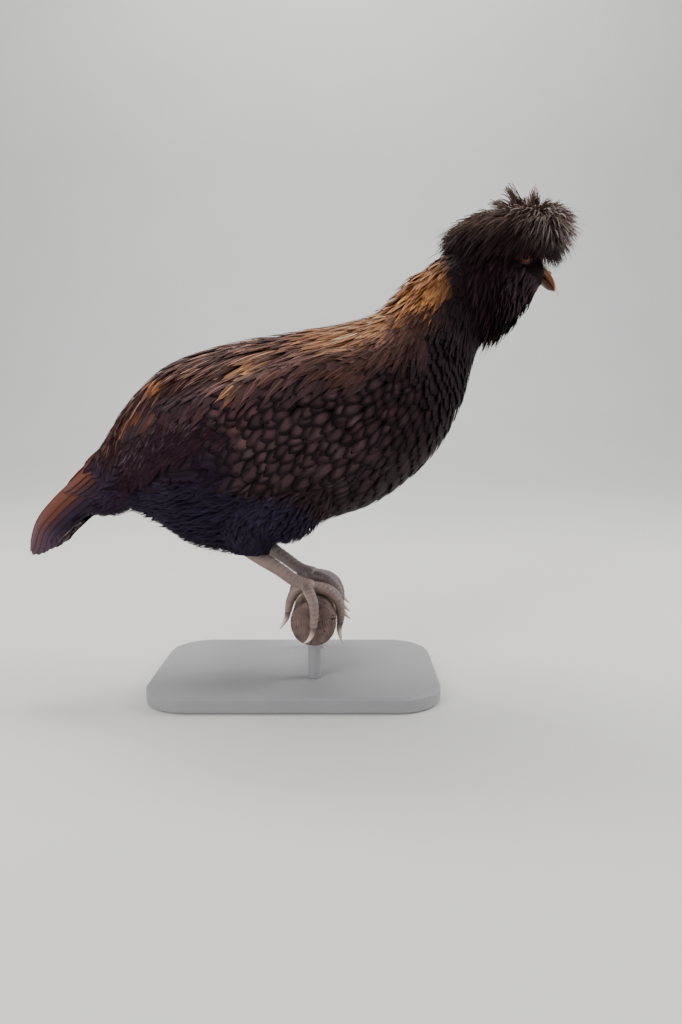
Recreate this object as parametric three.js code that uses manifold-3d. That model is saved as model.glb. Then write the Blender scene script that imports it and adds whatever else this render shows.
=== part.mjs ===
// A crested hen of a laced breed, life size, leaning forward on a short length of roost pole that a plain
// display stand holds up. Millimetres, +Z up. The hen faces +X and the pole runs along Y, across the hen.
// The origin is on the underside of the base, straight below the pole's axis.
import * as THREE from "three";
import { mergeVertices } from "three/addons/utils/BufferGeometryUtils.js";
import Module from "manifold-3d";

const wasm = await Module();
wasm.setup();

// Driving dimensions
const GAP = 0.3; // between solids that touch
const PLATE = { length: 232, width: 156, thick: 13, corner: 34, centreX: -16 };
const POLE = { radius: 18, height: 63, nearEnd: -52, farEnd: 78 };
const ROD = { radius: 5, ys: [-30, 52] };
const TOE = { radius: 4.3, tip: 2.7 };
const EYE = { x: 163, z: 343, radius: 5.2, proud: 2.4 };
const VANE_THICK = 0.9;
const MERGE = 0.12; // triangles left over by a union are merged where this moves the surface less
const random = seeded(11);
const BODY_SQUARENESS = 2.25; // exponent of the superellipse that a body section follows
const TRUNK_SIDES = 24;
const SEAM = 0.0006; // share of the trunk's length left free at each cut, about GAP

// The trunk from the tail's core to the bill, as sections that stand across it: the top and bottom of each in
// the plane of symmetry, and half its width.
const SECTIONS = {
  tailTip: { top: [-197, 165], bottom: [-189, 148], half: 6 },
  tailCore: { top: [-185, 181], bottom: [-170, 147], half: 13 },
  tailRoot: { top: [-170, 202], bottom: [-152, 150], half: 22 },
  rump: { top: [-152, 229], bottom: [-130, 139], half: 36 },
  saddle: { top: [-118, 261], bottom: [-99, 119], half: 51 },
  loin: { top: [-66, 279], bottom: [-50, 113], half: 61 },
  back: { top: [-20, 287], bottom: [0, 135], half: 65 },
  shoulders: { top: [26, 295], bottom: [52, 154], half: 62 },
  breast: { top: [54, 303], bottom: [95, 190], half: 55 },
  neckBase: { top: [77, 322], bottom: [118, 231], half: 43 },
  neck: { top: [96, 339], bottom: [129, 273], half: 33 },
  throat: { top: [110, 351], bottom: [141, 296], half: 27 },
  nape: { top: [123, 360], bottom: [151, 309], half: 24 },
  cheeks: { top: [141, 366], bottom: [162, 315], half: 21.5 },
  brow: { top: [158, 363], bottom: [171, 320], half: 17.5 },
  lore: { top: [171, 354], bottom: [178, 323.5], half: 12 },
  billBase: { top: [182, 341], bottom: [181, 326], half: 7.5 },
};
const NAMES = Object.keys(SECTIONS);
const place = (name) => NAMES.indexOf(name) / (NAMES.length - 1);

const topLine = lineThrough((s) => [s.top[0], 0, s.top[1]]);
const bottomLine = lineThrough((s) => [s.bottom[0], 0, s.bottom[1]]);
const halfLine = lineThrough((s) => [s.half, 0, 0]);

function seeded(seed) {
  let state = seed;
  return (low, high) => {
    state = (Math.imul(state ^ (state >>> 15), 2246822519) + 3266489917) >>> 0;
    return low + ((high - low) * ((state >>> 8) % 65536)) / 65536;
  };
}

const vectors = (points) => points.map((p) => new THREE.Vector3(...p));

function lineThrough(pick) {
  return new THREE.CatmullRomCurve3(NAMES.map((n) => new THREE.Vector3(...pick(SECTIONS[n]))));
}

// Closed solids from rings of points. A ring of one point is a tip; any other end is closed with a fan.
function solidFromRings(rings) {
  const positions = [];
  const triangles = [];
  const starts = rings.map((ring) => {
    const start = positions.length / 3;
    for (const p of ring) positions.push(p.x, p.y, p.z);
    return start;
  });
  const fan = (ring, start, turned) => {
    if (ring.length === 1) return;
    const middle = positions.length / 3;
    const centre = ring.reduce((sum, p) => sum.add(p), new THREE.Vector3()).divideScalar(ring.length);
    positions.push(centre.x, centre.y, centre.z);
    ring.forEach((_, i) => {
      const a = start + i;
      const b = start + ((i + 1) % ring.length);
      triangles.push(...(turned ? [middle, b, a] : [middle, a, b]));
    });
  };
  fan(rings[0], starts[0], true);
  for (let r = 0; r + 1 < rings.length; r++) {
    const here = rings[r].length;
    const next = rings[r + 1].length;
    for (let i = 0; i < Math.max(here, next); i++) {
      const a = starts[r] + (i % here);
      const b = starts[r] + ((i + 1) % here);
      const c = starts[r + 1] + (i % next);
      const d = starts[r + 1] + ((i + 1) % next);
      if (here > 1) triangles.push(a, b, next > 1 ? d : c);
      if (next > 1) triangles.push(a, d, c);
    }
  }
  fan(rings.at(-1), starts.at(-1), false);
  return solidFrom(positions, triangles);
}

// Its faces are turned round together if they point inwards.
function solidFrom(positions, triangles) {
  const at = (i) => new THREE.Vector3().fromArray(positions, i * 3);
  let volume = 0;
  for (let t = 0; t < triangles.length; t += 3)
    volume += at(triangles[t]).dot(at(triangles[t + 1]).cross(at(triangles[t + 2])));
  const order = volume < 0 ? triangles.toReversed() : triangles;
  return new wasm.Manifold(
    new wasm.Mesh({
      numProp: 3,
      vertProperties: new Float32Array(positions),
      triVerts: new Uint32Array(order),
    }),
  );
}

function solidFromGeometry(geometry) {
  const bare = new THREE.BufferGeometry().setAttribute("position", geometry.getAttribute("position"));
  if (geometry.index) bare.setIndex(geometry.index);
  const merged = mergeVertices(bare, 1e-3);
  return solidFrom([...merged.attributes.position.array], [...merged.index.array]);
}

const joined = (solids) => wasm.Manifold.union(solids);

// Only the largest closed surface of a solid, which fills sealed hollows and drops scraps.
function largestBody(solid) {
  const bodies = solid.decompose().sort((a, b) => b.volume() - a.volume());
  return bodies[0];
}

function meshOf(name, solid, material) {
  const body = largestBody(solid.asOriginal().simplify(MERGE)).getMesh();
  const positions = new Float32Array(body.numVert * 3);
  for (let i = 0; i < body.numVert; i++)
    positions.set(body.vertProperties.subarray(i * body.numProp, i * body.numProp + 3), i * 3);
  const geometry = new THREE.BufferGeometry()
    .setAttribute("position", new THREE.BufferAttribute(positions, 3))
    .setIndex(new THREE.BufferAttribute(new Uint32Array(body.triVerts), 1));
  geometry.computeVertexNormals();
  const mesh = new THREE.Mesh(geometry, material);
  mesh.name = name;
  return mesh;
}

// A superellipse in the plane through a top point, a bottom point and Y.
function sectionRing(top, bottom, half, sides, squareness) {
  const middle = top.clone().add(bottom).divideScalar(2);
  const rise = top.clone().sub(middle);
  const bend = (v) => Math.sign(v) * Math.abs(v) ** (2 / squareness);
  return Array.from({ length: sides }, (_, i) => {
    const angle = ((i + 0.5) / sides) * 2 * Math.PI;
    return middle
      .clone()
      .addScaledVector(rise, bend(Math.sin(angle)))
      .add(new THREE.Vector3(0, half * bend(Math.cos(angle)), 0));
  });
}

function trunkRing(u, sides, grow = 0) {
  const top = topLine.getPoint(u);
  const bottom = bottomLine.getPoint(u);
  const stretch = top.clone().sub(bottom).setLength(grow);
  const half = halfLine.getPoint(u).x + grow;
  return sectionRing(top.add(stretch), bottom.sub(stretch), half, sides, BODY_SQUARENESS);
}

// Every piece of the trunk has its rings at the same stations, so that pieces grown by GAP clear the others.
function trunkPiece(from, to, grow = 0) {
  const count = 2 * (NAMES.length - 1);
  const between = Array.from({ length: count + 1 }, (_, i) => i / count).filter(
    (u) => u > from + SEAM && u < to - SEAM,
  );
  return solidFromRings([from, ...between, to].map((u) => trunkRing(u, TRUNK_SIDES, grow)));
}

const wholeTrunk = (grow) => trunkPiece(0, 1, grow);

// Where a point of the side view lies on the trunk: the section it is in, and its height there from -1 to 1.
function trunkAt(x, z) {
  const across = (u) => {
    const top = topLine.getPoint(u);
    const bottom = bottomLine.getPoint(u);
    return (bottom.x - top.x) * (z - top.z) - (bottom.z - top.z) * (x - top.x);
  };
  let low = 0;
  let high = 1;
  const side = Math.sign(across(low));
  for (let i = 0; i < 30; i++) {
    const u = (low + high) / 2;
    if (Math.sign(across(u)) === side) low = u;
    else high = u;
  }
  const top = topLine.getPoint(low);
  const bottom = bottomLine.getPoint(low);
  const reach = Math.hypot(top.x - bottom.x, top.z - bottom.z) / 2;
  const centreX = (top.x + bottom.x) / 2;
  const centreZ = (top.z + bottom.z) / 2;
  return { u: low, height: Math.hypot(x - centreX, z - centreZ) / reach };
}

// Half the trunk's width at a point of the side view.
function trunkHalf(x, z) {
  const { u, height } = trunkAt(x, z);
  const inside = Math.max(0, 1 - Math.min(1, height) ** BODY_SQUARENESS);
  return halfLine.getPoint(u).x * inside ** (1 / BODY_SQUARENESS);
}

// A round tube along points, with a radius at each. Where tip is true it ends in a point.
function limb(points, radii, sides, { flat = 1, tip = false } = {}) {
  const curve = new THREE.CatmullRomCurve3(points);
  const steps = Math.round((points.length - 1) * 1.5);
  const rings = [];
  for (let i = 0; i <= steps; i++) {
    const t = i / steps;
    const here = Math.min(t * (radii.length - 1), radii.length - 1.001);
    const k = Math.floor(here);
    const radius = THREE.MathUtils.lerp(radii[k], radii[k + 1], here - k);
    const centre = curve.getPoint(t);
    if (tip && i === steps) {
      rings.push([centre]);
      continue;
    }
    const along = curve.getTangent(t);
    const side = new THREE.Vector3(0, 1, 0).addScaledVector(along, -along.y);
    if (side.length() < 0.2) side.set(1, 0, 0).addScaledVector(along, -along.x);
    side.normalize();
    const up = new THREE.Vector3().crossVectors(side, along);
    rings.push(
      Array.from({ length: sides }, (_, j) => {
        const angle = (j / sides) * 2 * Math.PI;
        return centre
          .clone()
          .addScaledVector(side, radius * flat * Math.cos(angle))
          .addScaledVector(up, radius * Math.sin(angle));
      }),
    );
  }
  return solidFromRings(rings);
}

// Stand: a plate with rounded corners and two rods under the pole
function plateSolid() {
  const { length, width, thick, corner, centreX } = PLATE;
  const bevel = 2;
  const x0 = centreX - length / 2 + bevel;
  const x1 = centreX + length / 2 - bevel;
  const y1 = width / 2 - bevel;
  const shape = new THREE.Shape();
  shape.moveTo(x0 + corner, -y1);
  shape.lineTo(x1 - corner, -y1);
  shape.absarc(x1 - corner, corner - y1, corner, -Math.PI / 2, 0);
  shape.lineTo(x1, y1 - corner);
  shape.absarc(x1 - corner, y1 - corner, corner, 0, Math.PI / 2);
  shape.lineTo(x0 + corner, y1);
  shape.absarc(x0 + corner, y1 - corner, corner, Math.PI / 2, Math.PI);
  shape.lineTo(x0, corner - y1);
  shape.absarc(x0 + corner, corner - y1, corner, Math.PI, 1.5 * Math.PI);
  const geometry = new THREE.ExtrudeGeometry(shape, {
    depth: thick - 2 * bevel,
    bevelThickness: bevel,
    bevelSize: bevel,
    bevelSegments: 1,
    curveSegments: 6,
  });
  geometry.translate(0, 0, bevel);
  return solidFromGeometry(geometry);
}

function poleSolid(grow = 0) {
  const chamfer = 1.2;
  const radius = POLE.radius + grow;
  const start = POLE.nearEnd - grow;
  const end = POLE.farEnd + grow;
  const profile = [
    [0, start],
    [radius - chamfer, start],
    [radius, start + chamfer],
    [radius, end - chamfer],
    [radius - chamfer, end],
    [0, end],
  ].map(([r, y]) => new THREE.Vector2(r, y));
  const geometry = new THREE.LatheGeometry(profile, 28);
  geometry.translate(0, 0, POLE.height);
  return solidFromGeometry(geometry);
}

function rodSolid(y) {
  const bottom = PLATE.thick + GAP;
  const geometry = new THREE.CylinderGeometry(ROD.radius, ROD.radius, POLE.height - bottom, 16);
  geometry.rotateX(Math.PI / 2);
  geometry.translate(0, y, (POLE.height + bottom) / 2);
  return solidFromGeometry(geometry).subtract(poleSolid(GAP));
}

// Sections of a small form in the plane of symmetry: [top x, top z, bottom x, bottom z, half width]
function sectionSolid(sections, tip, sides) {
  const rings = sections.map(([topX, topZ, bottomX, bottomZ, half]) =>
    sectionRing(new THREE.Vector3(topX, 0, topZ), new THREE.Vector3(bottomX, 0, bottomZ), half, sides, 2),
  );
  return solidFromRings([...rings, [new THREE.Vector3(tip[0], 0, tip[1])]]);
}

function ellipsoid(centre, radii, around = 20, down = 12) {
  const geometry = new THREE.SphereGeometry(1, around, down);
  geometry.scale(...radii);
  geometry.translate(...centre);
  return solidFromGeometry(geometry);
}

// Head, with sockets and lids round the eyes and a crease at the corner of the mouth
const eyeY = trunkHalf(EYE.x, EYE.z) - EYE.radius + EYE.proud;

function eyeSolid(side, grow = 0) {
  const radius = EYE.radius + grow;
  return ellipsoid([EYE.x, side * eyeY, EYE.z], [radius, radius, radius], 12, 8);
}

function lidSolid(side) {
  const geometry = new THREE.TorusGeometry(EYE.radius + 0.5, 1.3, 5, 13);
  geometry.scale(1.12, 0.94, 1);
  geometry.rotateX(Math.PI / 2);
  geometry.rotateZ(side * -0.28);
  geometry.translate(EYE.x, side * (eyeY + EYE.radius - EYE.proud - 0.4), EYE.z);
  return solidFromGeometry(geometry);
}

function mouthCrease() {
  const geometry = new THREE.BoxGeometry(16, 40, 0.7);
  geometry.rotateY(0.62);
  geometry.translate(176.5, 0, 334);
  const flesh = trunkPiece(place("cheeks"), 1, -1.4);
  return solidFromGeometry(geometry).subtract(flesh);
}

// The two small horns of the comb, in front of the crest
function combSolid(side, grow = 0) {
  const line = [[178, side * 2, 343], [179.6, side * 3.4, 347.5], [179.4, side * 4.8, 351.5 + grow]];
  return limb(vectors(line), [2.4 + grow, 1.9 + grow, 0.6 + grow], 8, { tip: true });
}

// What stands proud of the trunk on the face
const faceProud = (grow) =>
  joined([-1, 1].flatMap((side) => [combSolid(side, grow), eyeSolid(side, 3.2 + grow)]));

function headSolid() {
  const skull = trunkPiece(place("nape") + SEAM, 1);
  const whole = joined([skull, lidSolid(-1), lidSolid(1), combSolid(-1), combSolid(1)]);
  return whole.subtract(joined([eyeSolid(-1, GAP), eyeSolid(1, GAP), mouthCrease()]));
}

// Bill: the upper half hooks a little over the lower one, with raised nostrils at its base
function upperBill() {
  const horn = sectionSolid(
    [
      [182.7, 340.7, 181.9, 331.2, 7.2],
      [187.3, 337.2, 184.6, 328.6, 6.2],
      [191.7, 331.4, 187.8, 325.4, 4.8],
      [194.7, 324.2, 191.2, 321.4, 2.8],
    ],
    [195.3, 317.2],
    14,
  );
  const rims = [-1, 1].map((side) => ellipsoid([186, side * 4.4, 335.4], [3, 1.8, 2], 10, 6));
  const holes = [-1, 1].map((side) => ellipsoid([186.8, side * 6.1, 335], [1.7, 1.2, 0.8], 8, 6));
  return joined([horn, ...rims]).subtract(joined(holes));
}

function lowerBill() {
  return sectionSolid(
    [
      [181.7, 330.4, 181.4, 325.4, 5.6],
      [184.2, 327.9, 183.1, 323.4, 4.9],
      [187.3, 324.7, 186.1, 320.8, 3.7],
    ],
    [191.2, 319.2],
    14,
  );
}

// Legs. The shank runs forward and down from the hock to the pad, and the toes wrap the pole.
const shankLine = [
  [-57, 28, 122],
  [-45, 28, 112.5],
  [-28, 27.5, 101],
  [-14, 27, 91],
  [-5, 27, 86.9],
];
const shankRadii = [7.4, 6.2, 5.2, 5.1, 5.9];

// A point on the left foot's side of the pole: degrees round it from +X, distance from its axis, and Y
const onPole = ([degrees, distance, y]) => [
  distance * Math.cos(THREE.MathUtils.degToRad(degrees)),
  y,
  POLE.height + distance * Math.sin(THREE.MathUtils.degToRad(degrees)),
];
const sunk = POLE.radius + GAP + TOE.radius;
const low = POLE.radius + GAP + TOE.tip + 0.4;

// Each toe's middle line, then its claw's
const wrapped = {
  middle: {
    toe: [[102, 24.3, 27], [78, sunk, 27.5], [54, sunk, 28], [30, sunk, 28.4], [6, low, 28.6], [-14, low, 28.8]],
    claw: [[-16.5, low, 28.8], [-28, 22.6, 28.9], [-38, 26.5, 29], [-45, 32, 29]],
  },
  inner: {
    toe: [[102, 24.3, 26], [80, sunk, 22], [58, sunk, 18.5], [36, sunk, 15.5], [15, low, 13.5]],
    claw: [[12.5, low, 13.3], [2, 22.4, 12.6], [-7, 25.6, 12], [-13, 30, 11.6]],
  },
  outer: {
    toe: [[102, 24.3, 28], [80, sunk, 32.5], [58, sunk, 36.5], [36, sunk, 39.8], [14, low, 42.2]],
    claw: [[11.5, low, 42.5], [1, 22.4, 43.3], [-8, 25.6, 44], [-14, 30, 44.4]],
  },
  hind: {
    toe: [[100, 25.5, 27], [124, 25, 26], [148, sunk, 25], [172, low, 24.4]],
    claw: [[174.5, low, 24.4], [186, 22.6, 24.2], [196, 26, 24.1], [203, 30.5, 24]],
  },
};

// The right foot's outer toe hangs over the pole's near end instead.
const overTheEnd = {
  toe: [[-5, -29, 87], [-4.5, -41, 86.6], [-2.5, -51, 86], [0, -56.6, 81.5], [1, -57.3, 72], [0.2, -57.2, 61.5]],
  claw: [[0.1, -57.2, 60.3], [-1.2, -57.2, 55.4], [-3.8, -57, 51.4], [-7.6, -56.8, 48.6]],
};

function digit(side, name) {
  if (side < 0 && name === "outer") return overTheEnd;
  const { toe, claw } = wrapped[name];
  const mirrored = (point) => {
    const [x, y, z] = onPole(point);
    return [x, side * y, z];
  };
  return { toe: toe.map(mirrored), claw: claw.map(mirrored) };
}

function shankSolid(side, grow = 0) {
  const line = shankLine.map(([x, y, z]) => [x, side * y, z]);
  return limb(vectors(line), shankRadii.map((r) => r + grow), 12, { flat: 0.86 });
}

function footSolid(side) {
  const pad = ellipsoid([-5, side * 27, 87], [6.6, 7.4, 5.9], 12, 7);
  const toes = Object.keys(wrapped).map((name) =>
    limb(vectors(digit(side, name).toe), [TOE.radius, TOE.radius, TOE.radius * 0.86, TOE.tip], 7),
  );
  return joined([shankSolid(side), pad, ...toes]).subtract(joined([poleSolid(GAP), wholeTrunk(GAP)]));
}

function clawSolid(side, name) {
  return limb(vectors(digit(side, name).claw), [2.3, 2, 1.4, 0.3], 6, { tip: true });
}

function thighSolid(side) {
  const line = vectors([
    [6, side * 36, 182],
    [-26, side * 36, 160],
    [-49, side * 32, 139],
    [-50, side * 29, 115],
  ]);
  const feathered = limb(line, [30, 37, 29, 13], 18, { flat: 0.72 });
  return feathered.subtract(joined([wholeTrunk(GAP), shankSolid(side, GAP)]));
}


// A feather's vane: rows of three points from root to tip, left edge, shaft and right edge, and then the tip.
// Both faces are split into triangles alike.
function vaneSolid(rows, tip, thick = VANE_THICK) {
  const positions = [];
  const triangles = [];
  const count = rows.length;
  rows.forEach((row, i) => {
    const ahead = i + 1 < count ? rows[i + 1][1] : tip;
    const along = ahead.clone().sub(i > 0 ? rows[i - 1][1] : row[1]);
    const normal = row[2].clone().sub(row[0]).cross(along).normalize();
    for (const face of [0.5, -0.5])
      row.forEach((p, j) => {
        const q = p.clone().addScaledVector(normal, face * thick * (j === 1 ? 1 : 0.7));
        positions.push(q.x, q.y, q.z);
      });
  });
  positions.push(tip.x, tip.y, tip.z);
  const top = (i, j) => i * 6 + j;
  const bottom = (i, j) => i * 6 + 3 + j;
  const end = count * 6;
  const last = count - 1;
  for (let i = 0; i < last; i++) {
    for (const j of [0, 1]) {
      triangles.push(top(i, j), top(i, j + 1), top(i + 1, j + 1), top(i, j), top(i + 1, j + 1), top(i + 1, j));
      triangles.push(bottom(i, j), bottom(i + 1, j + 1), bottom(i, j + 1));
      triangles.push(bottom(i, j), bottom(i + 1, j), bottom(i + 1, j + 1));
    }
    triangles.push(top(i, 0), top(i + 1, 0), bottom(i + 1, 0), top(i, 0), bottom(i + 1, 0), bottom(i, 0));
    triangles.push(top(i + 1, 2), top(i, 2), bottom(i, 2), top(i + 1, 2), bottom(i, 2), bottom(i + 1, 2));
  }
  for (const j of [0, 1]) {
    triangles.push(top(0, j + 1), top(0, j), bottom(0, j), top(0, j + 1), bottom(0, j), bottom(0, j + 1));
    triangles.push(top(last, j), top(last, j + 1), end, bottom(last, j + 1), bottom(last, j), end);
  }
  triangles.push(top(last, 0), end, bottom(last, 0), end, top(last, 2), bottom(last, 2));
  return solidFrom(positions, triangles);
}

// A feather along a path of four or five points, as wide as halves say, level across it and turned by roll
function featherAlong(path, halves, thick, across, roll = 0) {
  const points = vectors(path);
  const rows = halves.map((half, i) => {
    const along = points[i + 1].clone().sub(points[Math.max(0, i - 1)]).normalize();
    const level = across.clone().addScaledVector(along, -across.dot(along)).normalize().applyAxisAngle(along, roll);
    return [-1, 0, 1].map((j) => points[i].clone().addScaledVector(level, j * half));
  });
  return vaneSolid(rows, points.at(-1), thick);
}

// Wing: a smooth shoulder with the flight feathers and two tiers of coverts growing out of it backwards.
// Each is laid out in the side view and wrapped round the body. It leans in at its upper edge, under the next one.
const WING = {
  stations: [
    // x, lower edge, upper edge, bulge over the body
    [93, 226, 244, 2],
    [84, 212, 258, 8],
    [66, 199, 267, 11],
    [40, 190, 271, 11.5],
    [16, 186, 270, 9.5],
    [-8, 190, 264, 5.5],
    [-30, 202, 250, 1.2],
  ],
  flights: 11,
  coverts: 7,
  lean: 0.19, // how far a vane leans in over each millimetre of its width
};

function wingSide(x, z) {
  const floor = x < -105 ? 34 - 0.6 * Math.max(0, z - 200) : 0;
  return Math.max(trunkHalf(x, z), floor);
}

function wingShell(side) {
  const points = 6;
  const rings = WING.stations.map(([x, zLow, zHigh, bulge]) => {
    const edge = (j, swell) => {
      const v = j / (points - 1);
      const z = zLow + (zHigh - zLow) * v;
      const y = wingSide(x, z) + GAP + swell * Math.sqrt(Math.max(0, 1 - (2 * v - 1) ** 2)) + 0.9;
      return new THREE.Vector3(x, side * y, z);
    };
    const outer = Array.from({ length: points }, (_, j) => edge(j, bulge));
    const inner = Array.from({ length: points }, (_, j) => edge(j, 0).setY(edge(j, 0).y - side * 5)).toReversed();
    return [...outer, ...inner];
  });
  return solidFromRings(rings);
}

// root and tip are [x, z] of the side view, sag is how far the vane curves down, base is how far out it lies
function wingVane(side, { root, tip, half, sag, base, lean, tilt = 0 }) {
  const steps = half.length;
  const dx = tip[0] - root[0];
  const dz = tip[1] - root[1];
  const length = Math.hypot(dx, dz);
  const across = [dz / length, -dx / length];
  const at = (t, w, halfHere) => {
    const drop = sag * 4 * t * (1 - t);
    const x = root[0] + dx * t + across[0] * w;
    const z = root[1] + dz * t + across[1] * w - drop;
    return new THREE.Vector3(x, side * (wingSide(x, z) + base + tilt * t + lean * (half[1] - w)), z);
  };
  const rows = half.map((h, i) => {
    const t = (i / steps) * 0.97 + (i === steps - 1 ? 0.04 : 0);
    return [-h, 0, h].map((w) => at(t, w, h));
  });
  return vaneSolid(rows, at(1, 0, 0), VANE_THICK);
}

function wingSolid(side) {
  const pieces = [wingShell(side)];
  for (let k = 0; k < WING.flights; k++) {
    const inner = k / (WING.flights - 1);
    const primary = k < 3;
    pieces.push(
      wingVane(side, {
        root: [22 - 10 * inner, 193 + 67 * inner],
        tip: primary ? [-162 + 4 * k, 166 + 5.5 * k] : [-153 + 42 * ((k - 3) / 7) ** 1.2, 181 + 45 * ((k - 3) / 7)],
        half: primary ? [4.5, 7, 6] : [5, 9, 8.2],
        sag: 2.5,
        base: 1.4,
        lean: WING.lean,
      }),
    );
  }
  for (let k = 0; k < WING.coverts; k++) {
    const inner = k / (WING.coverts - 1);
    const greater = { root: [48 - 4 * inner, 200 + 58 * inner], tip: [-48 + 16 * inner, 188 + 57 * inner] };
    const median = { root: [74 - 6 * inner, 209 + 46 * inner], tip: [2 + 10 * inner, 198 + 54 * inner] };
    pieces.push(wingVane(side, { ...greater, half: [4.4, 8.6, 8], sag: 1.5, base: 5.2, lean: 0.15 }));
    pieces.push(wingVane(side, { ...median, half: [4, 8, 7], sag: 1.5, base: 8, lean: 0.14, tilt: 0.6 }));
  }
  return joined(pieces).subtract(wholeTrunk(GAP));
}

// Tail: closed and hanging, the feathers of each side folded down under the middle pair like a tent
const ridge = new THREE.CatmullRomCurve3(
  vectors([
    [-166, 0, 197],
    [-179, 0, 186],
    [-194.6, 0, 171.5],
    [-213.5, 0, 154],
    [-228.4, 0, 135.8],
    [-236.6, 0, 112],
  ]),
);

// Across the tent, one side's feathers from the top down: inner edge and outer edge, both as [y, depth]
const TAIL_SIDES = [
  { from: 0.04, to: 0.99, inner: [1.2, 1.2], outer: [14.4, 11] },
  { from: 0.06, to: 0.98, inner: [2, 4.4], outer: [15.2, 16.4] },
  { from: 0.08, to: 0.965, inner: [2.8, 8], outer: [15.5, 21.4] },
  { from: 0.1, to: 0.95, inner: [3.6, 12], outer: [15, 25.8] },
  { from: 0.12, to: 0.935, inner: [4.6, 16.6], outer: [14, 29.4] },
];
// The middle feather and the coverts over it lie across the ridge.
const TAIL_MIDDLE = [
  { from: 0.02, to: 1, inner: [0, -1.6], outer: [10.5, 4.6] },
  { from: 0.04, to: 0.45, inner: [0, -3.4], outer: [13, 4] },
  { from: 0, to: 0.25, inner: [0, -5.2], outer: [15, 3] },
];
const TAIL_COVERTS = [
  { from: 0.05, to: 0.42, inner: [13.6, 2.4], outer: [18.6, 15] },
  { from: 0.08, to: 0.34, inner: [16.8, 14], outer: [18, 27] },
  { from: 0, to: 0.24, inner: [15.6, 1.4], outer: [20.8, 13.5] },
];

// side is 0 for a feather across the ridge
function tailVane(side, { from, to, inner, outer }, taper) {
  const at = (t, w) => {
    const here = ridge.getPointAt(Math.min(1, t));
    const along = ridge.getTangentAt(Math.min(1, t));
    const down = new THREE.Vector3(-along.z, 0, along.x);
    if (down.z > 0) down.negate();
    const scale = 1.12 - 0.3 * t;
    const spread = 0.8 + 0.42 * Math.sin(Math.PI * Math.min(1, t * 0.9));
    const y = THREE.MathUtils.lerp(inner[0], outer[0], Math.abs(w)) * spread;
    const depth = THREE.MathUtils.lerp(inner[1], outer[1], Math.abs(w)) * scale;
    return here.addScaledVector(down, depth).setY((side || Math.sign(w)) * y);
  };
  const middle = side ? 0.5 : 0;
  const rows = taper.map(([t, width]) => {
    const here = from + (to - from) * t;
    return [-1, 0, 1].map((w) => at(here, middle + w * width * (1 - middle)));
  });
  return vaneSolid(rows, at(to, middle), VANE_THICK);
}

function tailSolid() {
  const root = place("tailRoot") - SEAM;
  const core = solidFromRings(
    [0, 0.25, 0.5, 0.75, 1].map((f) => trunkRing(root * f, TRUNK_SIDES, -6 * (1 - f) * (f + 0.6))),
  );
  const pieces = [core];
  const long = [[0, 0.85], [0.45, 1], [0.92, 0.75]];
  const short = [[0, 1], [0.5, 1], [0.86, 0.6]];
  TAIL_MIDDLE.forEach((vane, k) => pieces.push(tailVane(0, vane, k ? short : long)));
  for (const side of [1, -1]) {
    TAIL_SIDES.forEach((vane) => pieces.push(tailVane(side, vane, long)));
    TAIL_COVERTS.forEach((vane) => pieces.push(tailVane(side, vane, short)));
  }
  const torso = trunkPiece(place("tailRoot"), place("rump"), GAP);
  return joined(pieces).subtract(torso);
}

// Crest: a fountain of long feathers in tiers on a small bulb. Tips are given in front, beside and behind.
const CREST = {
  centre: [150, 0, 364],
  bulb: [26, 22, 14],
  tiers: [
    { count: 15, rise: -8, front: [42, 345], side: [43, 349], back: [49, 347], arch: 8, half: 7.4 },
    { count: 15, rise: 14, front: [57.5, 360], side: [48, 360], back: [49, 359], arch: 9, half: 7.6 },
    { count: 11, rise: 38, front: [51, 378], side: [38, 377], back: [38, 374], arch: 8.5, half: 7.4 },
    { count: 7, rise: 66, front: [31, 389], side: [21, 388], back: [21, 386], arch: 5, half: 6.4 },
    { count: 4, rise: 80, front: [13, 393], side: [10, 391], back: [10, 390], arch: 2, half: 6 },
  ],
  spikes: [[150.5, -5, 400.4], [161, 4, 395.4], [177.5, -4, 400.4]],
};

function crestFeather(azimuth, rise, tip, arch, half, roll) {
  const [cx, cy, cz] = CREST.centre;
  const up = THREE.MathUtils.degToRad(rise);
  const root = [
    cx + CREST.bulb[0] * 0.6 * Math.cos(up) * Math.cos(azimuth),
    cy + CREST.bulb[1] * 0.6 * Math.cos(up) * Math.sin(azimuth),
    cz + CREST.bulb[2] * 0.6 * Math.sin(up) + 1,
  ];
  const path = [0, 0.48, 0.86, 1].map((t) =>
    root.map((r, i) => r + (tip[i] - r) * t + (i === 2 ? arch * 4 * t * (1 - t) : 0)),
  );
  const across = new THREE.Vector3(-Math.sin(azimuth), Math.cos(azimuth), 0);
  return featherAlong(path, [half * 0.6, half, half * 0.7], VANE_THICK, across, roll);
}

function crestSolid() {
  const pieces = [ellipsoid(CREST.centre, CREST.bulb, 14, 8)];
  CREST.tiers.forEach(({ count, rise, front, side, back, arch, half }) => {
    for (let k = 0; k < count; k++) {
      const azimuth = ((k + random(-0.25, 0.25)) / count) * 2 * Math.PI;
      const forward = Math.max(0, Math.cos(azimuth)) ** 2;
      const rear = Math.max(0, -Math.cos(azimuth)) ** 2;
      const blend = (i) => side[i] + (front[i] - side[i]) * forward + (back[i] - side[i]) * rear;
      const reach = blend(0) * random(0.94, 1.02);
      const tip = [150 + reach * Math.cos(azimuth), reach * Math.sin(azimuth), blend(1) + random(-2, 2)];
      pieces.push(crestFeather(azimuth, rise, tip, arch, half * random(0.9, 1.1), random(-0.45, 0.45)));
    }
  });
  CREST.spikes.forEach((tip) => {
    const azimuth = Math.atan2(tip[1], tip[0] - 150);
    pieces.push(crestFeather(azimuth, 75, tip, 2, 3.4, 0));
  });
  return joined(pieces).subtract(joined([wholeTrunk(GAP), faceProud(0.6)]));
}

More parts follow.
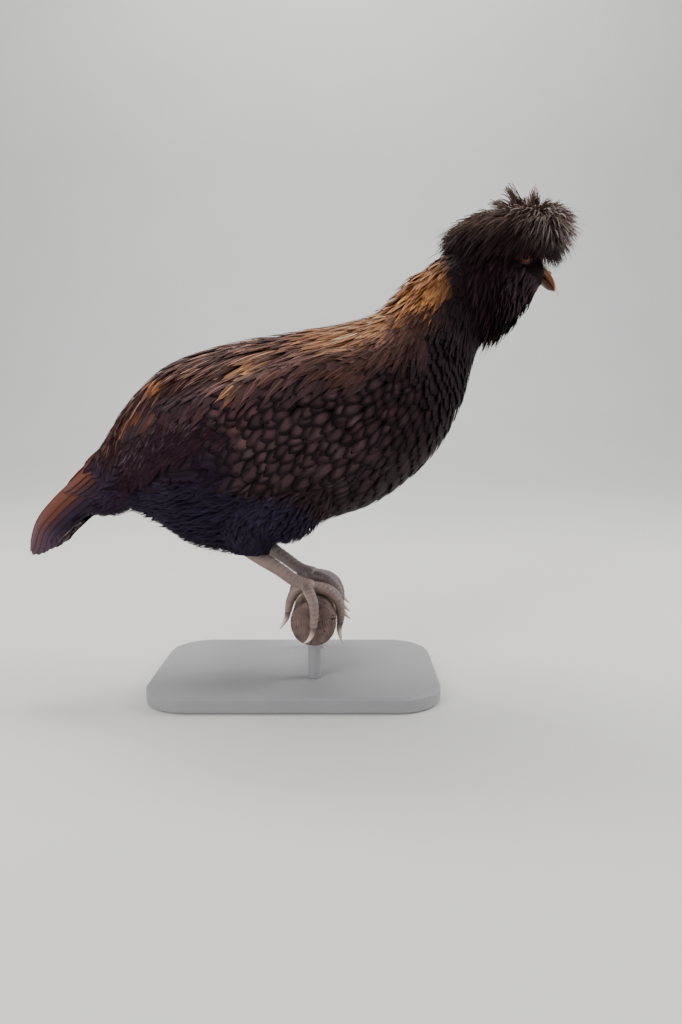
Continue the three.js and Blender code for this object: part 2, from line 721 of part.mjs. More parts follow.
// Beard and muffs: locks that hang down and back from the chin and the cheeks, in tiers, on a thin core.
// from and to are places on the trunk, counted in sections from the nape; spread is how far round from the chin
// they reach, in degrees; flare is how far the tips stand off.
const BEARD = [
  { count: 5, from: 3.3, to: 2.0, spread: 50, flare: 8.5, half: 4.3 },
  { count: 8, from: 2.55, to: 1.05, spread: 72, flare: 14, half: 5 },
  { count: 9, from: 1.75, to: 0.1, spread: 92, flare: 15, half: 5.6 },
  { count: 9, from: 0.8, to: -0.85, spread: 100, flare: 12, half: 5.8 },
];

function onTrunk(sections, degreesFromChin, grow) {
  const u = place("nape") + sections / (NAMES.length - 1);
  const ring = trunkRing(u, 72, grow);
  const index = Math.round(((270 + degreesFromChin + 360) % 360) / 5 - 0.5);
  return ring[(index + 72) % 72];
}

function beardSolid() {
  const shell = trunkPiece(place("throat"), place("lore"), 4.5);
  const core = shell.intersect(ellipsoid([147, 0, 305], [35, 36, 28], 18, 10));
  const pieces = [core];
  BEARD.forEach(({ count, from, to, spread, flare, half }) => {
    for (let k = 0; k < count; k++) {
      const round = (2 * k) / (count - 1) - 1 + random(-0.05, 0.05);
      const degrees = round * spread;
      const out = flare * (1 - 0.38 * Math.abs(round)) * random(0.9, 1.05);
      const end = to + random(-0.12, 0.12);
      const path = [0, 0.4, 0.78, 1].map((t) =>
        onTrunk(from + (end - from) * t, degrees, 2.4 + (out - 2.4) * t ** 1.1).toArray(),
      );
      const here = onTrunk(from, degrees, 2);
      const across = onTrunk(from, degrees + 15, 2).sub(here).normalize();
      const width = half * random(0.9, 1.1);
      pieces.push(featherAlong(path, [width * 0.7, width, width * 0.75], 1.2, across, random(-0.15, 0.15)));
    }
  });
  return joined(pieces).subtract(joined([wholeTrunk(GAP), faceProud(0.6)]));
}

const plain = (color, roughness = 0.8) => new THREE.MeshStandardMaterial({ color, roughness });
const materials = {
  feather: plain(0x2a1f1a),
  hackle: plain(0x6d3f1c),
  tail: plain(0x7a3f26),
  crest: plain(0x1f1b19),
  scale: plain(0x7f7a74, 0.6),
  bill: plain(0xb08a62, 0.4),
  claw: plain(0x9a8f83, 0.4),
  eye: plain(0x7a2c12, 0.15),
  wood: plain(0xcbb48f),
  stand: plain(0x2c2622, 0.5),
};

const hen = new THREE.Group();
hen.add(meshOf("stand_base", plateSolid(), materials.stand));
ROD.ys.forEach((y, i) => hen.add(meshOf(`stand_rod_${i + 1}`, rodSolid(y), materials.stand)));
hen.add(meshOf("perch", poleSolid(), materials.wood));
hen.add(meshOf("torso", trunkPiece(place("tailRoot"), place("neckBase")), materials.feather));
hen.add(meshOf("neck", trunkPiece(place("neckBase") + SEAM, place("nape")), materials.hackle));
hen.add(meshOf("head", headSolid(), materials.feather));
hen.add(meshOf("bill_upper", upperBill(), materials.bill));
hen.add(meshOf("bill_lower", lowerBill(), materials.bill));
hen.add(meshOf("crest", crestSolid(), materials.crest));
hen.add(meshOf("beard", beardSolid(), materials.crest));
hen.add(meshOf("tail", tailSolid(), materials.tail));
for (const [word, side] of [["left", 1], ["right", -1]]) {
  hen.add(meshOf(`eye_${word}`, eyeSolid(side), materials.eye));
  hen.add(meshOf(`wing_${word}`, wingSolid(side), materials.feather));
  hen.add(meshOf(`thigh_${word}`, thighSolid(side), materials.feather));
  hen.add(meshOf(`foot_${word}`, footSolid(side), materials.scale));
  for (const name of Object.keys(wrapped))
    hen.add(meshOf(`claw_${word}_${name}`, clawSolid(side, name), materials.claw));
}

export default hen;
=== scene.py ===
"""Looks of a crested, bearded hen with laced plumage that grips a short length of roost pole on a stand.

Every piece is worked out with numpy in millimetres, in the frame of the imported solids, and put into its
mesh in metres. The hen faces +X, its plane of symmetry is Y = 0, and the pole runs along Y.
"""

import bpy
import numpy as np
from bpy.props import FloatProperty, FloatVectorProperty, PointerProperty
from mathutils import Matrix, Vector


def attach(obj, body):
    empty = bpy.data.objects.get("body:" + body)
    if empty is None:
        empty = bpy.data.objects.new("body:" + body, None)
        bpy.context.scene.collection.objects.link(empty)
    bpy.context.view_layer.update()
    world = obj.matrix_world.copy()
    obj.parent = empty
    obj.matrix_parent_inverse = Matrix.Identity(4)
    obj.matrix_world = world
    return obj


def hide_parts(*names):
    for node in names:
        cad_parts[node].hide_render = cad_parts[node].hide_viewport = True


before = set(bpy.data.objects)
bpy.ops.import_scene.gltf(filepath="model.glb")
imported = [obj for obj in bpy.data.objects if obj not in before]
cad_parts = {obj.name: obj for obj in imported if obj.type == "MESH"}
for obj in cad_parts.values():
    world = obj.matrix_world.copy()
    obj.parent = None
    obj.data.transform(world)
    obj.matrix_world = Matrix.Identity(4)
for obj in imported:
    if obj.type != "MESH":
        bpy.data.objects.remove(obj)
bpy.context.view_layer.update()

bl_info = {
    "name": "Crested hen on a roost pole",
    "version": (1, 0, 0),
    "blender": (4, 5, 0),
    "location": "3D View > Sidebar > Hen",
    "description": "Builds a life-size still model of a crested hen with laced plumage",
    "category": "Add Mesh",
}

# The trunk from the tail's core to the bill, as sections across it in millimetres: top x, top z, bottom x,
# bottom z and half the width. The solids are lofted from the same ones.
SECTIONS = {
    "tail tip": (-197, 165, -189, 148, 6),
    "tail core": (-185, 181, -170, 147, 13),
    "tail root": (-170, 202, -152, 150, 22),
    "rump": (-152, 229, -130, 139, 36),
    "saddle": (-118, 261, -99, 119, 51),
    "loin": (-66, 279, -50, 113, 61),
    "back": (-20, 287, 0, 135, 65),
    "shoulders": (26, 295, 52, 154, 62),
    "breast": (54, 303, 95, 190, 55),
    "neck base": (77, 322, 118, 231, 43),
    "neck": (96, 339, 129, 273, 33),
    "throat": (110, 351, 141, 296, 27),
    "nape": (123, 360, 151, 309, 24),
    "cheeks": (141, 366, 162, 315, 21.5),
    "brow": (158, 363, 171, 320, 17.5),
    "lore": (171, 354, 178, 323.5, 12),
    "bill base": (182, 341, 181, 326, 7.5),
}
LAST = len(SECTIONS) - 1
POLE = {"radius": 18.0, "height": 63.0, "near": -52.0, "far": 78.0}
# The eye's place in the side view, and the radii of its ball, of the bare ring round it, of iris and pupil
EYE = {"x": 163.0, "z": 343.0, "radius": 5.2, "proud": 2.4, "bare": 7.6, "iris": 3.9, "pupil": 2.1}
SIDES = (("left", 1), ("right", -1))
SQUARENESS = 2.25
TURN = 2 * np.pi
# Size of the voxels that fuse the skin, in metres, and thickness of wing and tail feathers, in millimetres
SKIN_VOXEL = 0.0022
VANE_THICKNESS = 0.35


# Curves and blends


def spline(knots, t):
    """Points of the centripetal Catmull-Rom curve through the knots, at t from 0 to 1."""
    knots = np.asarray(knots, float)
    ends = np.vstack([2 * knots[0] - knots[1], knots, 2 * knots[-1] - knots[-2]])
    place = np.clip(np.asarray(t, float), 0, 1) * (len(knots) - 1)
    k = np.minimum(place.astype(int), len(knots) - 2)
    w = (place - k)[..., None]
    p0, p1, p2, p3 = (ends[k + i] for i in range(4))

    def gap(a, b):
        return np.maximum(np.linalg.norm(b - a, axis=-1, keepdims=True) ** 0.5, 1e-4)

    d0, d1, d2 = gap(p0, p1), gap(p1, p2), gap(p2, p3)
    t1 = ((p1 - p0) / d0 - (p2 - p0) / (d0 + d1) + (p2 - p1) / d1) * d1
    t2 = ((p2 - p1) / d1 - (p3 - p1) / (d1 + d2) + (p3 - p2) / d2) * d1
    return p1 + t1 * w + (3 * p2 - 3 * p1 - 2 * t1 - t2) * w**2 + (2 * p1 - 2 * p2 + t1 + t2) * w**3


def smooth(low, high, x):
    """0 below low, 1 above high and an S between them."""
    t = np.clip((x - low) / (high - low), 0, 1)
    return t * t * (3 - 2 * t)


def mix(a, b, w):
    """a where w is 0 and b where it is 1."""
    w = np.asarray(w)[..., None]
    return np.asarray(a) * (1 - w) + np.asarray(b) * w


def unit(v):
    """v at length 1."""
    return v / np.maximum(np.linalg.norm(v, axis=-1, keepdims=True), 1e-9)


def heading(line, t):
    """The spline's direction at t, from the chord over a short stretch."""
    return unit(spline(line, t + 0.01) - spline(line, t - 0.01))


def along_x(points, xs, values):
    """The values in straight lines between those at xs, at the points' x."""
    return np.interp(points[:, 0], xs, values)


# The trunk's surface


TABLE_U = np.linspace(0, 1, 961)
KNOTS = np.array(list(SECTIONS.values()), float)
TOPS = spline(KNOTS[:, 0:2], TABLE_U)
BOTTOMS = spline(KNOTS[:, 2:4], TABLE_U)
HALVES = spline(KNOTS[:, 4:5], TABLE_U)[:, 0]


def on_table(values, u):
    """The table's values at u, carried on in a straight line past its ends."""
    inside = np.clip(u, 0.002, 0.998)
    slope = np.where(u < inside, values[1] - values[0], values[-1] - values[-2]) / TABLE_U[1]
    return np.interp(inside, TABLE_U, values) + (u - inside) * slope


def bend(v):
    """The superellipse's version of a sine or cosine."""
    return np.sign(v) * np.abs(v) ** (2 / SQUARENESS)


def wing_swell(x, z):
    """How far the folded wing's shoulder stands out of the body: a flat-topped bump in the side view."""
    r2 = ((x - 26) / 84) ** 2 + ((z - 229) / 46) ** 2
    return 9.0 * np.exp(-(r2**1.6))


def trunk(u, a, grow):
    """A point of the trunk grown outwards: the section at u is a superellipse through its top, bottom and
    sides, a is the angle round it from the left side over the top, and the folded wings swell its sides."""
    tx, tz = on_table(TOPS[:, 0], u), on_table(TOPS[:, 1], u)
    bx, bz = on_table(BOTTOMS[:, 0], u), on_table(BOTTOMS[:, 1], u)
    half = np.maximum(on_table(HALVES, u), 1.0) + grow
    rise = np.hypot(tx - bx, tz - bz) / 2
    ux, uz = (tx - bx) / (2 * rise), (tz - bz) / (2 * rise)
    up = (rise + grow) * bend(np.sin(a))
    x = (tx + bx) / 2 + ux * up
    z = (tz + bz) / 2 + uz * up
    side = np.cos(a)
    y = half * bend(side) + np.sign(side) * np.minimum(1, 2.2 * np.abs(side)) * wing_swell(x, z)
    return np.stack([x, y, z], -1)


def coat_depth(u):
    """How thick the feathers lie over the skin, from the tail to the bill."""
    depths = [2.5, 4.5, 5.2, 5, 4.6, 3.2, 1.9, 1.5, 0.7]
    return np.interp(u * LAST, [0, 2, 6, 9, 11, 12.5, 13.6, 15, 16], depths)


def body(u, a, h):
    """A point at height h over the skin, which lies under the trunk's surface by the coat's depth."""
    return trunk(u, a, h - coat_depth(u))


def over_wing(x, z):
    """How much higher the coat lies where it covers the flight feathers: a plateau over the side view
    between the folded wing's lower and upper edge."""
    low = np.interp(x, [-110, -70, -40, 20], [161, 166, 164, 176])
    high = np.interp(x, [-110, 12], [224, 262])
    edge = smooth(low - 6, low + 6, z) * smooth(high + 9, high - 5, z)
    return 6.0 * edge * smooth(-132, -104, x) * smooth(46, 10, x)


def coat(u, a, h):
    """A point at height h over the skin, raised over the flight feathers in step with that height."""
    at = body(u, a, 0.0)
    return body(u, a, h + over_wing(at[..., 0], at[..., 2]) * np.clip(h / 3.2, 0, 1.15))


def trunk_place(x, z):
    """The u and the angle on the left side at which the trunk passes a point of the side view, and half its
    width there: the section that the point lies in is found by halving an interval of u, and the
    superellipse gives the width at the point's height in it."""
    low = np.zeros(np.broadcast(x, z).shape)
    high = np.ones_like(low)
    for _ in range(22):
        u = (low + high) / 2
        tx, tz = np.interp(u, TABLE_U, TOPS[:, 0]), np.interp(u, TABLE_U, TOPS[:, 1])
        bx, bz = np.interp(u, TABLE_U, BOTTOMS[:, 0]), np.interp(u, TABLE_U, BOTTOMS[:, 1])
        ahead = (bx - tx) * (z - tz) - (bz - tz) * (x - tx) > 0
        low = np.where(ahead, u, low)
        high = np.where(ahead, high, u)
    from_x, from_z = x - (tx + bx) / 2, z - (tz + bz) / 2
    height = np.minimum(1, np.hypot(from_x, from_z) / (np.hypot(tx - bx, tz - bz) / 2))
    above = np.sign(from_x * (tx - bx) + from_z * (tz - bz))
    angle = above * np.arcsin(height ** (SQUARENESS / 2))
    half = np.interp(low, TABLE_U, HALVES) * (1 - height**SQUARENESS) ** (1 / SQUARENESS)
    return low, angle, half


def trunk_side(x, z):
    """Half the trunk's width at a point of the side view."""
    return trunk_place(x, z)[2]


def unwrap(points):
    """Where points near the trunk lie on its unwrap, from 0 to 1 along it and round it."""
    u, angle, _ = trunk_place(points[..., 0], points[..., 2])
    angle = np.where(points[..., 1] < 0, np.pi - angle, angle)
    return u, (angle / TURN) % 1


# Middle lines of the left thigh and shank from the body down, the thigh's radii and its coat's depth
THIGH_LINE = [[6, 36, 182], [-26, 36, 160], [-49, 32, 139], [-50, 29, 115]]
THIGH_RADII = [30, 37, 29, 13]
THIGH_COAT = 5.0
SHANK_LINE = [[-57, 28, 122], [-45, 28, 112.5], [-28, 27.5, 101], [-14, 27, 91], [-5, 27, 86.9]]


def limb(line, radii, t, a, grow=0.0, flat=1.0, level=(0, 1, 0)):
    """A round limb along a spline: t runs from its root to its tip and a turns round it from its side
    towards its upper face. Its radius goes straight from each of the radii to the next, and flat narrows it
    sideways."""
    along = heading(line, t)
    level = np.asarray(level, float)
    side = unit(level - along * (along @ level)[..., None])
    up = np.cross(along, side)
    radius = np.interp(t, np.linspace(0, 1, len(radii)), radii) + grow
    across = side * (radius * flat * np.cos(a))[..., None]
    return spline(line, t) + across + up * (radius * np.sin(a))[..., None]


def thigh(side):
    """The surface of one thigh as a function of t, a and height over the skin."""
    line = np.array(THIGH_LINE, float) * [1, side, 1]

    def surface(t, a, h):
        return limb(line, THIGH_RADII, t, a, grow=h - THIGH_COAT, flat=0.74)

    return surface


# Meshes


def grid_faces(rows, columns, count=1, closed=False):
    """Quads of count grids of points laid one after another, each rows by columns. A closed grid's last
    column joins its first."""
    wide = columns if closed else columns - 1
    i, j = np.meshgrid(np.arange(rows - 1), np.arange(wide), indexing="ij")
    k = (j + 1) % columns
    one = np.stack([i * columns + j, i * columns + k, (i + 1) * columns + k, (i + 1) * columns + j], -1)
    return (one.reshape(1, -1, 4) + np.arange(count)[:, None, None] * rows * columns).reshape(-1, 4)


def tint(mesh, tones):
    """Puts a ground and an edge colour for each point into the mesh."""
    for key, tone in zip(("ground", "edge"), tones):
        tone = np.asarray(tone, float).reshape(-1, 3)
        full = np.concatenate([tone, np.ones((len(tone), 1))], 1)
        mesh.color_attributes.new(key, "FLOAT_COLOR", "POINT").data.foreach_set("color", full.ravel())


def build(name, points, faces, material, slot, uvs=None, tones=(), flip=False, replaces=()):
    """A mesh object from points in millimetres and a list of arrays of faces, with a UV pair and colours
    for each point. It rides on the row's one body."""
    points = np.asarray(points, float).reshape(-1, 3) * 0.001
    faces = [f[:, ::-1] if flip else f for f in (faces if isinstance(faces, list) else [faces])]
    loops = np.concatenate([f.ravel() for f in faces])
    sizes = np.concatenate([np.full(len(f), f.shape[1]) for f in faces])
    starts = np.concatenate([[0], np.cumsum(sizes)[:-1]])
    mesh = bpy.data.meshes.new(name)
    mesh.vertices.add(len(points))
    mesh.vertices.foreach_set("co", points.ravel())
    mesh.loops.add(len(loops))
    mesh.loops.foreach_set("vertex_index", loops.astype(np.int32))
    mesh.polygons.add(len(sizes))
    mesh.polygons.foreach_set("loop_start", starts.astype(np.int32))
    mesh.polygons.foreach_set("use_smooth", np.ones(len(sizes), bool))
    for key, uv in (uvs or {}).items():
        layer = mesh.uv_layers.new(name=key)
        layer.uv.foreach_set("vector", np.asarray(uv, float).reshape(-1, 2)[loops].ravel())
    tint(mesh, tones)
    mesh.update(calc_edges=True)
    if mesh.validate():
        raise RuntimeError(f"{name} had faces that are not valid")
    mesh.materials.append(material)
    piece = bpy.data.objects.new(name, mesh)
    bpy.context.scene.collection.objects.link(piece)
    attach(piece, "root")
    if replaces:
        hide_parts(*replaces)
    return piece


def tube_grid(rows, columns):
    """t from a tube's root to its end, and a once round it."""
    return np.meshgrid(np.linspace(0, 1, rows), np.arange(columns) / columns * TURN, indexing="ij")


def closed_tube(surface, rows, columns, tip=False):
    """Points and faces of a tube whose ends are closed by a face each, or by a point at the far end."""
    points = surface(*tube_grid(rows, columns)).reshape(-1, 3)
    faces = [grid_faces(rows, columns, closed=True), np.arange(columns)[::-1][None]]
    if tip:
        last = (rows - 1) * columns
        ring = last + np.arange(columns)
        faces.append(np.stack([ring, np.roll(ring, -1), np.full(columns, len(points))], -1))
        points = np.vstack([points, points[last:].mean(0)])
    else:
        faces.append(((rows - 1) * columns + np.arange(columns))[None])
    return points, faces


def together(parts):
    """Several lists of points and faces as one."""
    points, faces, base = [], [], 0
    for p, fs in parts:
        points.append(p)
        faces += [f + base for f in fs]
        base += len(p)
    return np.vstack(points), faces


# Feathers


# Shares of a feather's half width, at shares of its length from the root
OUTLINES = {
    "round": ([0, 0.12, 0.3, 0.5, 0.66, 0.8, 0.9, 0.96, 1],
              [0.4, 0.7, 0.94, 1, 0.93, 0.74, 0.5, 0.3, 0.08]),
    "lance": ([0, 0.15, 0.4, 0.65, 0.85, 1], [0.4, 0.8, 1, 0.86, 0.5, 0.06]),
    "fluff": ([0, 0.2, 0.5, 0.8, 1], [0.6, 1, 0.85, 0.5, 0.05]),
    "tail": ([0, 0.06, 0.2, 0.7, 0.92, 0.965, 0.99, 1], [0.3, 0.6, 0.9, 1, 0.99, 0.92, 0.78, 0.55]),
    "quill": ([0, 0.06, 0.2, 0.7, 0.86, 0.94, 0.98, 1], [0.2, 0.55, 0.9, 1, 0.9, 0.66, 0.4, 0.12]),
}


def outline(kind, s):
    """Share of a feather's half width at s from its root to its tip."""
    return np.interp(s, *OUTLINES[kind])


def feather_grid(rows, columns):
    """s from root to tip, closer together near the tip, and v from edge to edge, as arrays that go with
    those of a batch of feathers."""
    s, v = np.meshgrid(1 - np.linspace(1, 0, rows) ** 1.4, np.linspace(-1, 1, columns), indexing="ij")
    return s[None], v[None]


def drape(surface, p, q, per_p, per_q, lie, lean, length, width, heights, kind, rows, columns, arch, seed):
    """Feathers that lie along a surface: point (s, v) of each sits at s lengths back along the lie and v
    half widths across it, turned by lean, measured over the surface from the root (p, q), and at a height
    that goes from the first of heights at the root to the second at the tip, arched by arch over the
    shaft."""
    rng = np.random.default_rng(seed)
    s, v = feather_grid(rows, columns)
    given = (p, q, per_p, per_q, lean, length, width, *heights)
    given = [np.asarray(x, float).reshape(-1, 1, 1) for x in given]
    p, q, per_p, per_q, lean, length, width, low, high = given
    fray = rng.normal(0, 0.012, (p.shape[0], rows, columns)) * s**2
    back = length * (s * (1 - 0.05 * v**2 * s**2) + fray)
    across = width / 2 * outline(kind, s) * v
    dp = (back * np.cos(lean) - across * np.sin(lean)) / per_p
    dq = (back * np.sin(lean) + across * np.cos(lean)) / per_q
    h = low + (high - low) * (1 - (1 - s) ** 1.7)
    h = h + arch * width / 8 * (1 - v**2) * np.sin(np.pi * np.minimum(1, s * 1.05))
    return surface(p + lie * dp, q + dq, h)


def lattice(surface, p_range, count, ratio, seed, wobble):
    """Roots in rows round a surface, count to a row and half a place over in every other row, so that
    feathers interlock like shingles. Rows lie ratio times as far apart as the roots in a row. Gives p, q,
    how many millimetres a unit of each is there, and the distance between neighbours in the row."""
    rng = np.random.default_rng(seed)
    q = np.linspace(0, TURN, 241)
    rows, p, k = [], p_range[0], 0
    while p < p_range[1]:
        ring = surface(np.full_like(q, p), q, 0.0)
        arc = np.concatenate([[0], np.cumsum(np.linalg.norm(np.diff(ring, axis=0), axis=1))])
        pitch = arc[-1] / count
        ahead = surface(np.full_like(q, p + 1e-3), q, 0.0)
        per_unit = np.linalg.norm(ahead - ring, axis=1).mean() * 1e3
        place = (np.arange(count) + 0.5 * (k % 2) + rng.uniform(-wobble, wobble, count)) % count * pitch
        along = p + rng.uniform(-wobble, wobble, count) * ratio * pitch / per_unit
        rows.append(np.stack([along, np.interp(place, arc, q), np.full(count, pitch)]))
        p += ratio * pitch / per_unit
        k += 1
    p, q, pitch = np.concatenate(rows, axis=1)
    here = surface(p, q, 0.0)
    per_p = np.linalg.norm(surface(p + 1e-3, q, 0.0) - here, axis=-1) * 1e3
    per_q = np.linalg.norm(surface(p, q + 1e-3, 0.0) - here, axis=-1) * 1e3
    return p, q, np.maximum(per_p, 1), np.maximum(per_q, 1), pitch


def plumage(name, points, ground, edge, roots, look, slot, flip=False, replaces=()):
    """One coat piece from a batch of feathers, points (n, rows, columns, 3). ground and edge colour each
    feather or each of its points, roots are the feathers' places on the unwrap of the skin, from 0 to 1,
    where each is a small patch, and look names one of LOOKS."""
    count, rows, columns = points.shape[:3]
    s, v = feather_grid(rows, columns)
    s, v = (np.broadcast_to(x, (count, rows, columns)) for x in (s, v))
    vane = np.stack([v / 2 + 0.5, s], -1)
    u_root, v_root = (np.asarray(x)[:, None, None] for x in roots)
    bake = np.stack([u_root + 0.0015 * v, v_root + 0.003 * (s - 0.5)], -1)
    tones = [np.broadcast_to(x if x.ndim == 4 else x[:, None, None], points.shape) for x in (ground, edge)]
    feathered = shared(look, plumage_material, **LOOKS[look])
    build(name, points, grid_faces(rows, columns, count), feathered, slot,
          uvs={"vane": vane, "OFBake": bake}, tones=tones, flip=flip, replaces=replaces)


# Markings and painted light, alike on skin and coat


def colour(name):
    """One of the hen's colours, as chosen in the sidebar."""
    return np.array(getattr(bpy.context.scene.hen_colours, name)[:])


def markings(points):
    """The ground colour and the edge colour of the plumage at points of the body, from the side view: gold
    on the nape and shoulders, buff-edged dark feathers on the back, brown and orange ones over the wing,
    grey-brown feathers with black lacing on breast and flank, blue-black fluff on belly and thighs, and a
    nearly black head. Painted over these are a shade under the breast, a sheen on the edges of the back
    feathers and highlights on the edges of the shoulder feathers and of the orange streak."""
    x, y, z = points[..., 0], np.abs(points[..., 1]), points[..., 2]
    under = np.interp(x, TOPS[:, 0], TOPS[:, 1]) - z
    ground = mix(colour("flank"), colour("breast"), smooth(30, 105, x + 0.15 * (z - 220)))
    edge = np.broadcast_to(colour("lacing"), ground.shape)
    rear = smooth(-38, -60, x) * smooth(214, 196, z)
    ground = mix(ground, colour("wing") * 1.15, rear)
    edge = mix(edge, colour("wing") * 0.75, rear)
    # Painted shade: the underside of the breast is darkened.
    underside_shade = smooth(196, 168, z) * smooth(-36, 0, x)
    ground = ground * (1 - 0.42 * underside_shade[..., None])
    bay = np.exp(-(((x + 46) / 26) ** 2) - ((z - 230) / 13) ** 2)
    ground = mix(ground, colour("bay"), 0.8 * bay)
    back = smooth(48, 26, under + 0.12 * y) * smooth(96, 60, x)
    ground = mix(ground, colour("back"), back)
    # Painted sheen: the back feathers' edge colour, which the streaked material lays along the shaft, turns
    # towards the sheen.
    edge = mix(edge, colour("sheen"), 0.6 * back)
    buff = np.clip(0.6 * smooth(-84, -40, x) + smooth(24, 10, under), 0, 1) * smooth(-178, -120, x)
    edge = mix(edge, colour("buff"), back * buff)
    brown = np.exp(-(((under + 0.1 * y - 29) / 10) ** 2)) * smooth(-60, -35, x) * smooth(64, 36, x)
    ground = mix(ground, colour("scapular"), 0.5 * brown)
    edge = mix(edge, colour("scapular") * 2, 0.5 * brown)
    for at_x, at_z, wide, tall in ((-105, 255, 5, 3.5), (-118, 235, 5, 4), (-132, 228, 3.5, 4)):
        patch = np.exp(-(((x - at_x) / wide) ** 2) - ((z - at_z) / tall) ** 2)
        ground = mix(ground, colour("orange"), patch)
        edge = mix(edge, colour("orange") * 1.3, patch)
    streak = orange_streak(x - 20, z - 13, 3.4)
    ground = mix(ground, mix(colour("orange"), colour("pale_gold_and_highlight"), 0.35) * 0.36, streak)
    # Partly the streak feathers' own orange, partly a painted highlight: their edge colour, laid along the
    # shaft, runs towards pale gold.
    bright = mix(colour("orange") * 1.5, colour("pale_gold_and_highlight"), 0.6 + 0.3 * np.sin(1.7 * x))
    edge = mix(edge, bright, streak)
    line = gold_line(x)
    chestnut = smooth(line - 20, line - 4, z) * smooth(6, 40, x) * smooth(116, 96, x)
    ground = mix(ground, colour("scapular") * 0.42, chestnut)
    edge = mix(edge, colour("scapular") * 0.8, 0.6 * chestnut)
    ragged = x + 9 * np.sin(0.9 * y) + 8 * np.sin(2.3 * y + 0.4 * x)
    gold = smooth(line - 1, line + 8, z) * smooth(-2, 44, ragged) * smooth(119, 103, x)
    ground = mix(ground, colour("gold"), gold)
    # Painted highlight: the gold edges turn pale gold round the top of the shoulders.
    bright = mix(colour("gold_edge"), colour("pale_gold_and_highlight"), np.exp(-(((x - 50) / 24) ** 2)))
    edge = mix(edge, bright, gold)
    belly = smooth(6, -10, z - fluff_line(x)) * smooth(28, -6, x)
    ground = mix(ground, colour("belly"), belly)
    edge = mix(edge, colour("belly"), belly)
    coverts = smooth(-132, -148, x) * smooth(206, 192, z) * smooth(4, 14, under)
    ground = mix(ground, colour("tail") * 1.15, 0.9 * coverts)
    edge = mix(edge, colour("tail") * 2.2, coverts)
    head = smooth(104, 122, x + 0.25 * (300 - z))
    ground = mix(ground, colour("head"), head)
    edge = mix(edge, colour("lacing"), head)
    return ground, edge


def orange_streak(x, z, wide):
    """How orange a point of the side view is in the streak over the wing: a bell across the streak's line,
    which rises forwards from its lower end."""
    x, z = x + 67, z - 235
    along = (0.76 * x + 0.65 * z) / 35.5
    ends = smooth(0.2, 0.34, along) * smooth(1.3, 0.8, along)
    return np.exp(-(((0.65 * x - 0.76 * z) / wide) ** 2)) * ends


def gold_line(x):
    """How far down the side the gold of nape and shoulders reaches."""
    reach = [270, 272, 274, 278, 287, 298, 306, 315, 322]
    return np.interp(x, [0, 25, 47, 54, 66, 75, 80, 102, 112], reach)


def varied(base, seed, amount=0.25):
    """Each feather's colour a little lighter, darker or warmer than the next one's."""
    rng = np.random.default_rng(seed)
    light = np.exp(rng.normal(0, amount, (len(base), 1)))
    hue = 1 + rng.normal(0, 0.035, (len(base), 3))
    return np.clip(base * light * hue, 0, 1)


# Materials


def feed(tree, socket, value):
    """Links a socket to another, or gives it a number or the three numbers of a colour."""
    if isinstance(value, bpy.types.NodeSocket):
        tree.links.new(value, socket)
    elif isinstance(value, (int, float)):
        socket.default_value = value
    else:
        socket.default_value = (*value, 1.0)


def math(tree, operation, *values):
    """A Math node on sockets or numbers."""
    node = tree.nodes.new("ShaderNodeMath")
    node.operation = operation
    for socket, value in zip(node.inputs, values):
        feed(tree, socket, value)
    return node.outputs[0]


def ramp(tree, value, low, high, to_low=0.0, to_high=1.0):
    """A smooth Map Range node from low..high to to_low..to_high."""
    node = tree.nodes.new("ShaderNodeMapRange")
    node.interpolation_type = "SMOOTHSTEP"
    labels = ("Value", "From Min", "From Max", "To Min", "To Max")
    for label, number in zip(labels, (value, low, high, to_low, to_high)):
        feed(tree, node.inputs[label], number)
    return node.outputs["Result"]


def blend_colour(tree, factor, a, b, mode="MIX"):
    """A Mix node on two colours, each a socket or three numbers."""
    node = tree.nodes.new("ShaderNodeMix")
    node.data_type = "RGBA"
    node.blend_type = mode
    node.clamp_factor = True
    for i, value in ((0, factor), (6, a), (7, b)):
        feed(tree, node.inputs[i], value)
    return node.outputs[2]


def noise(tree, vector, scale, detail=4.0, rough=0.55):
    """A Noise node's value."""
    node = tree.nodes.new("ShaderNodeTexNoise")
    node.inputs["Scale"].default_value = scale
    node.inputs["Detail"].default_value = detail
    node.inputs["Roughness"].default_value = rough
    tree.links.new(vector, node.inputs["Vector"])
    return node.outputs["Fac"]


def place(tree, scale=(1, 1, 1)):
    """Object coordinates, stretched by scale."""
    coordinates = tree.nodes.new("ShaderNodeTexCoord")
    mapping = tree.nodes.new("ShaderNodeMapping")
    mapping.inputs["Scale"].default_value = scale
    tree.links.new(coordinates.outputs["Object"], mapping.inputs["Vector"])
    return mapping.outputs[0]


def attribute(tree, name):
    """A colour attribute of the mesh."""
    node = tree.nodes.new("ShaderNodeAttribute")
    node.attribute_name = name
    return node.outputs["Color"]


def two_tone(tree, factor):
    """The mesh's ground colour turned towards its edge colour."""
    return blend_colour(tree, factor, attribute(tree, "ground"), attribute(tree, "edge"))


def shared(name, make, **looks):
    """A group or material by its name, made when first asked for."""
    return bpy.data.node_groups.get(name) or bpy.data.materials.get(name) or make(name, **looks)


def new_group(name, inputs, outputs):
    """An empty shader node group with numbers for its inputs and outputs."""
    group = bpy.data.node_groups.new(name, "ShaderNodeTree")
    for label, value in inputs.items():
        socket = group.interface.new_socket(label, in_out="INPUT", socket_type="NodeSocketFloat")
        socket.default_value = value
    for label in outputs:
        group.interface.new_socket(label, in_out="OUTPUT", socket_type="NodeSocketFloat")
    return group, group.nodes.new("NodeGroupInput"), group.nodes.new("NodeGroupOutput")


def group_node(tree, group, **inputs):
    """A group placed in a material with its own values."""
    node = tree.nodes.new("ShaderNodeGroup")
    node.node_tree = group
    for key, value in inputs.items():
        node.inputs[key.replace("_", " ")].default_value = value
    return node.outputs


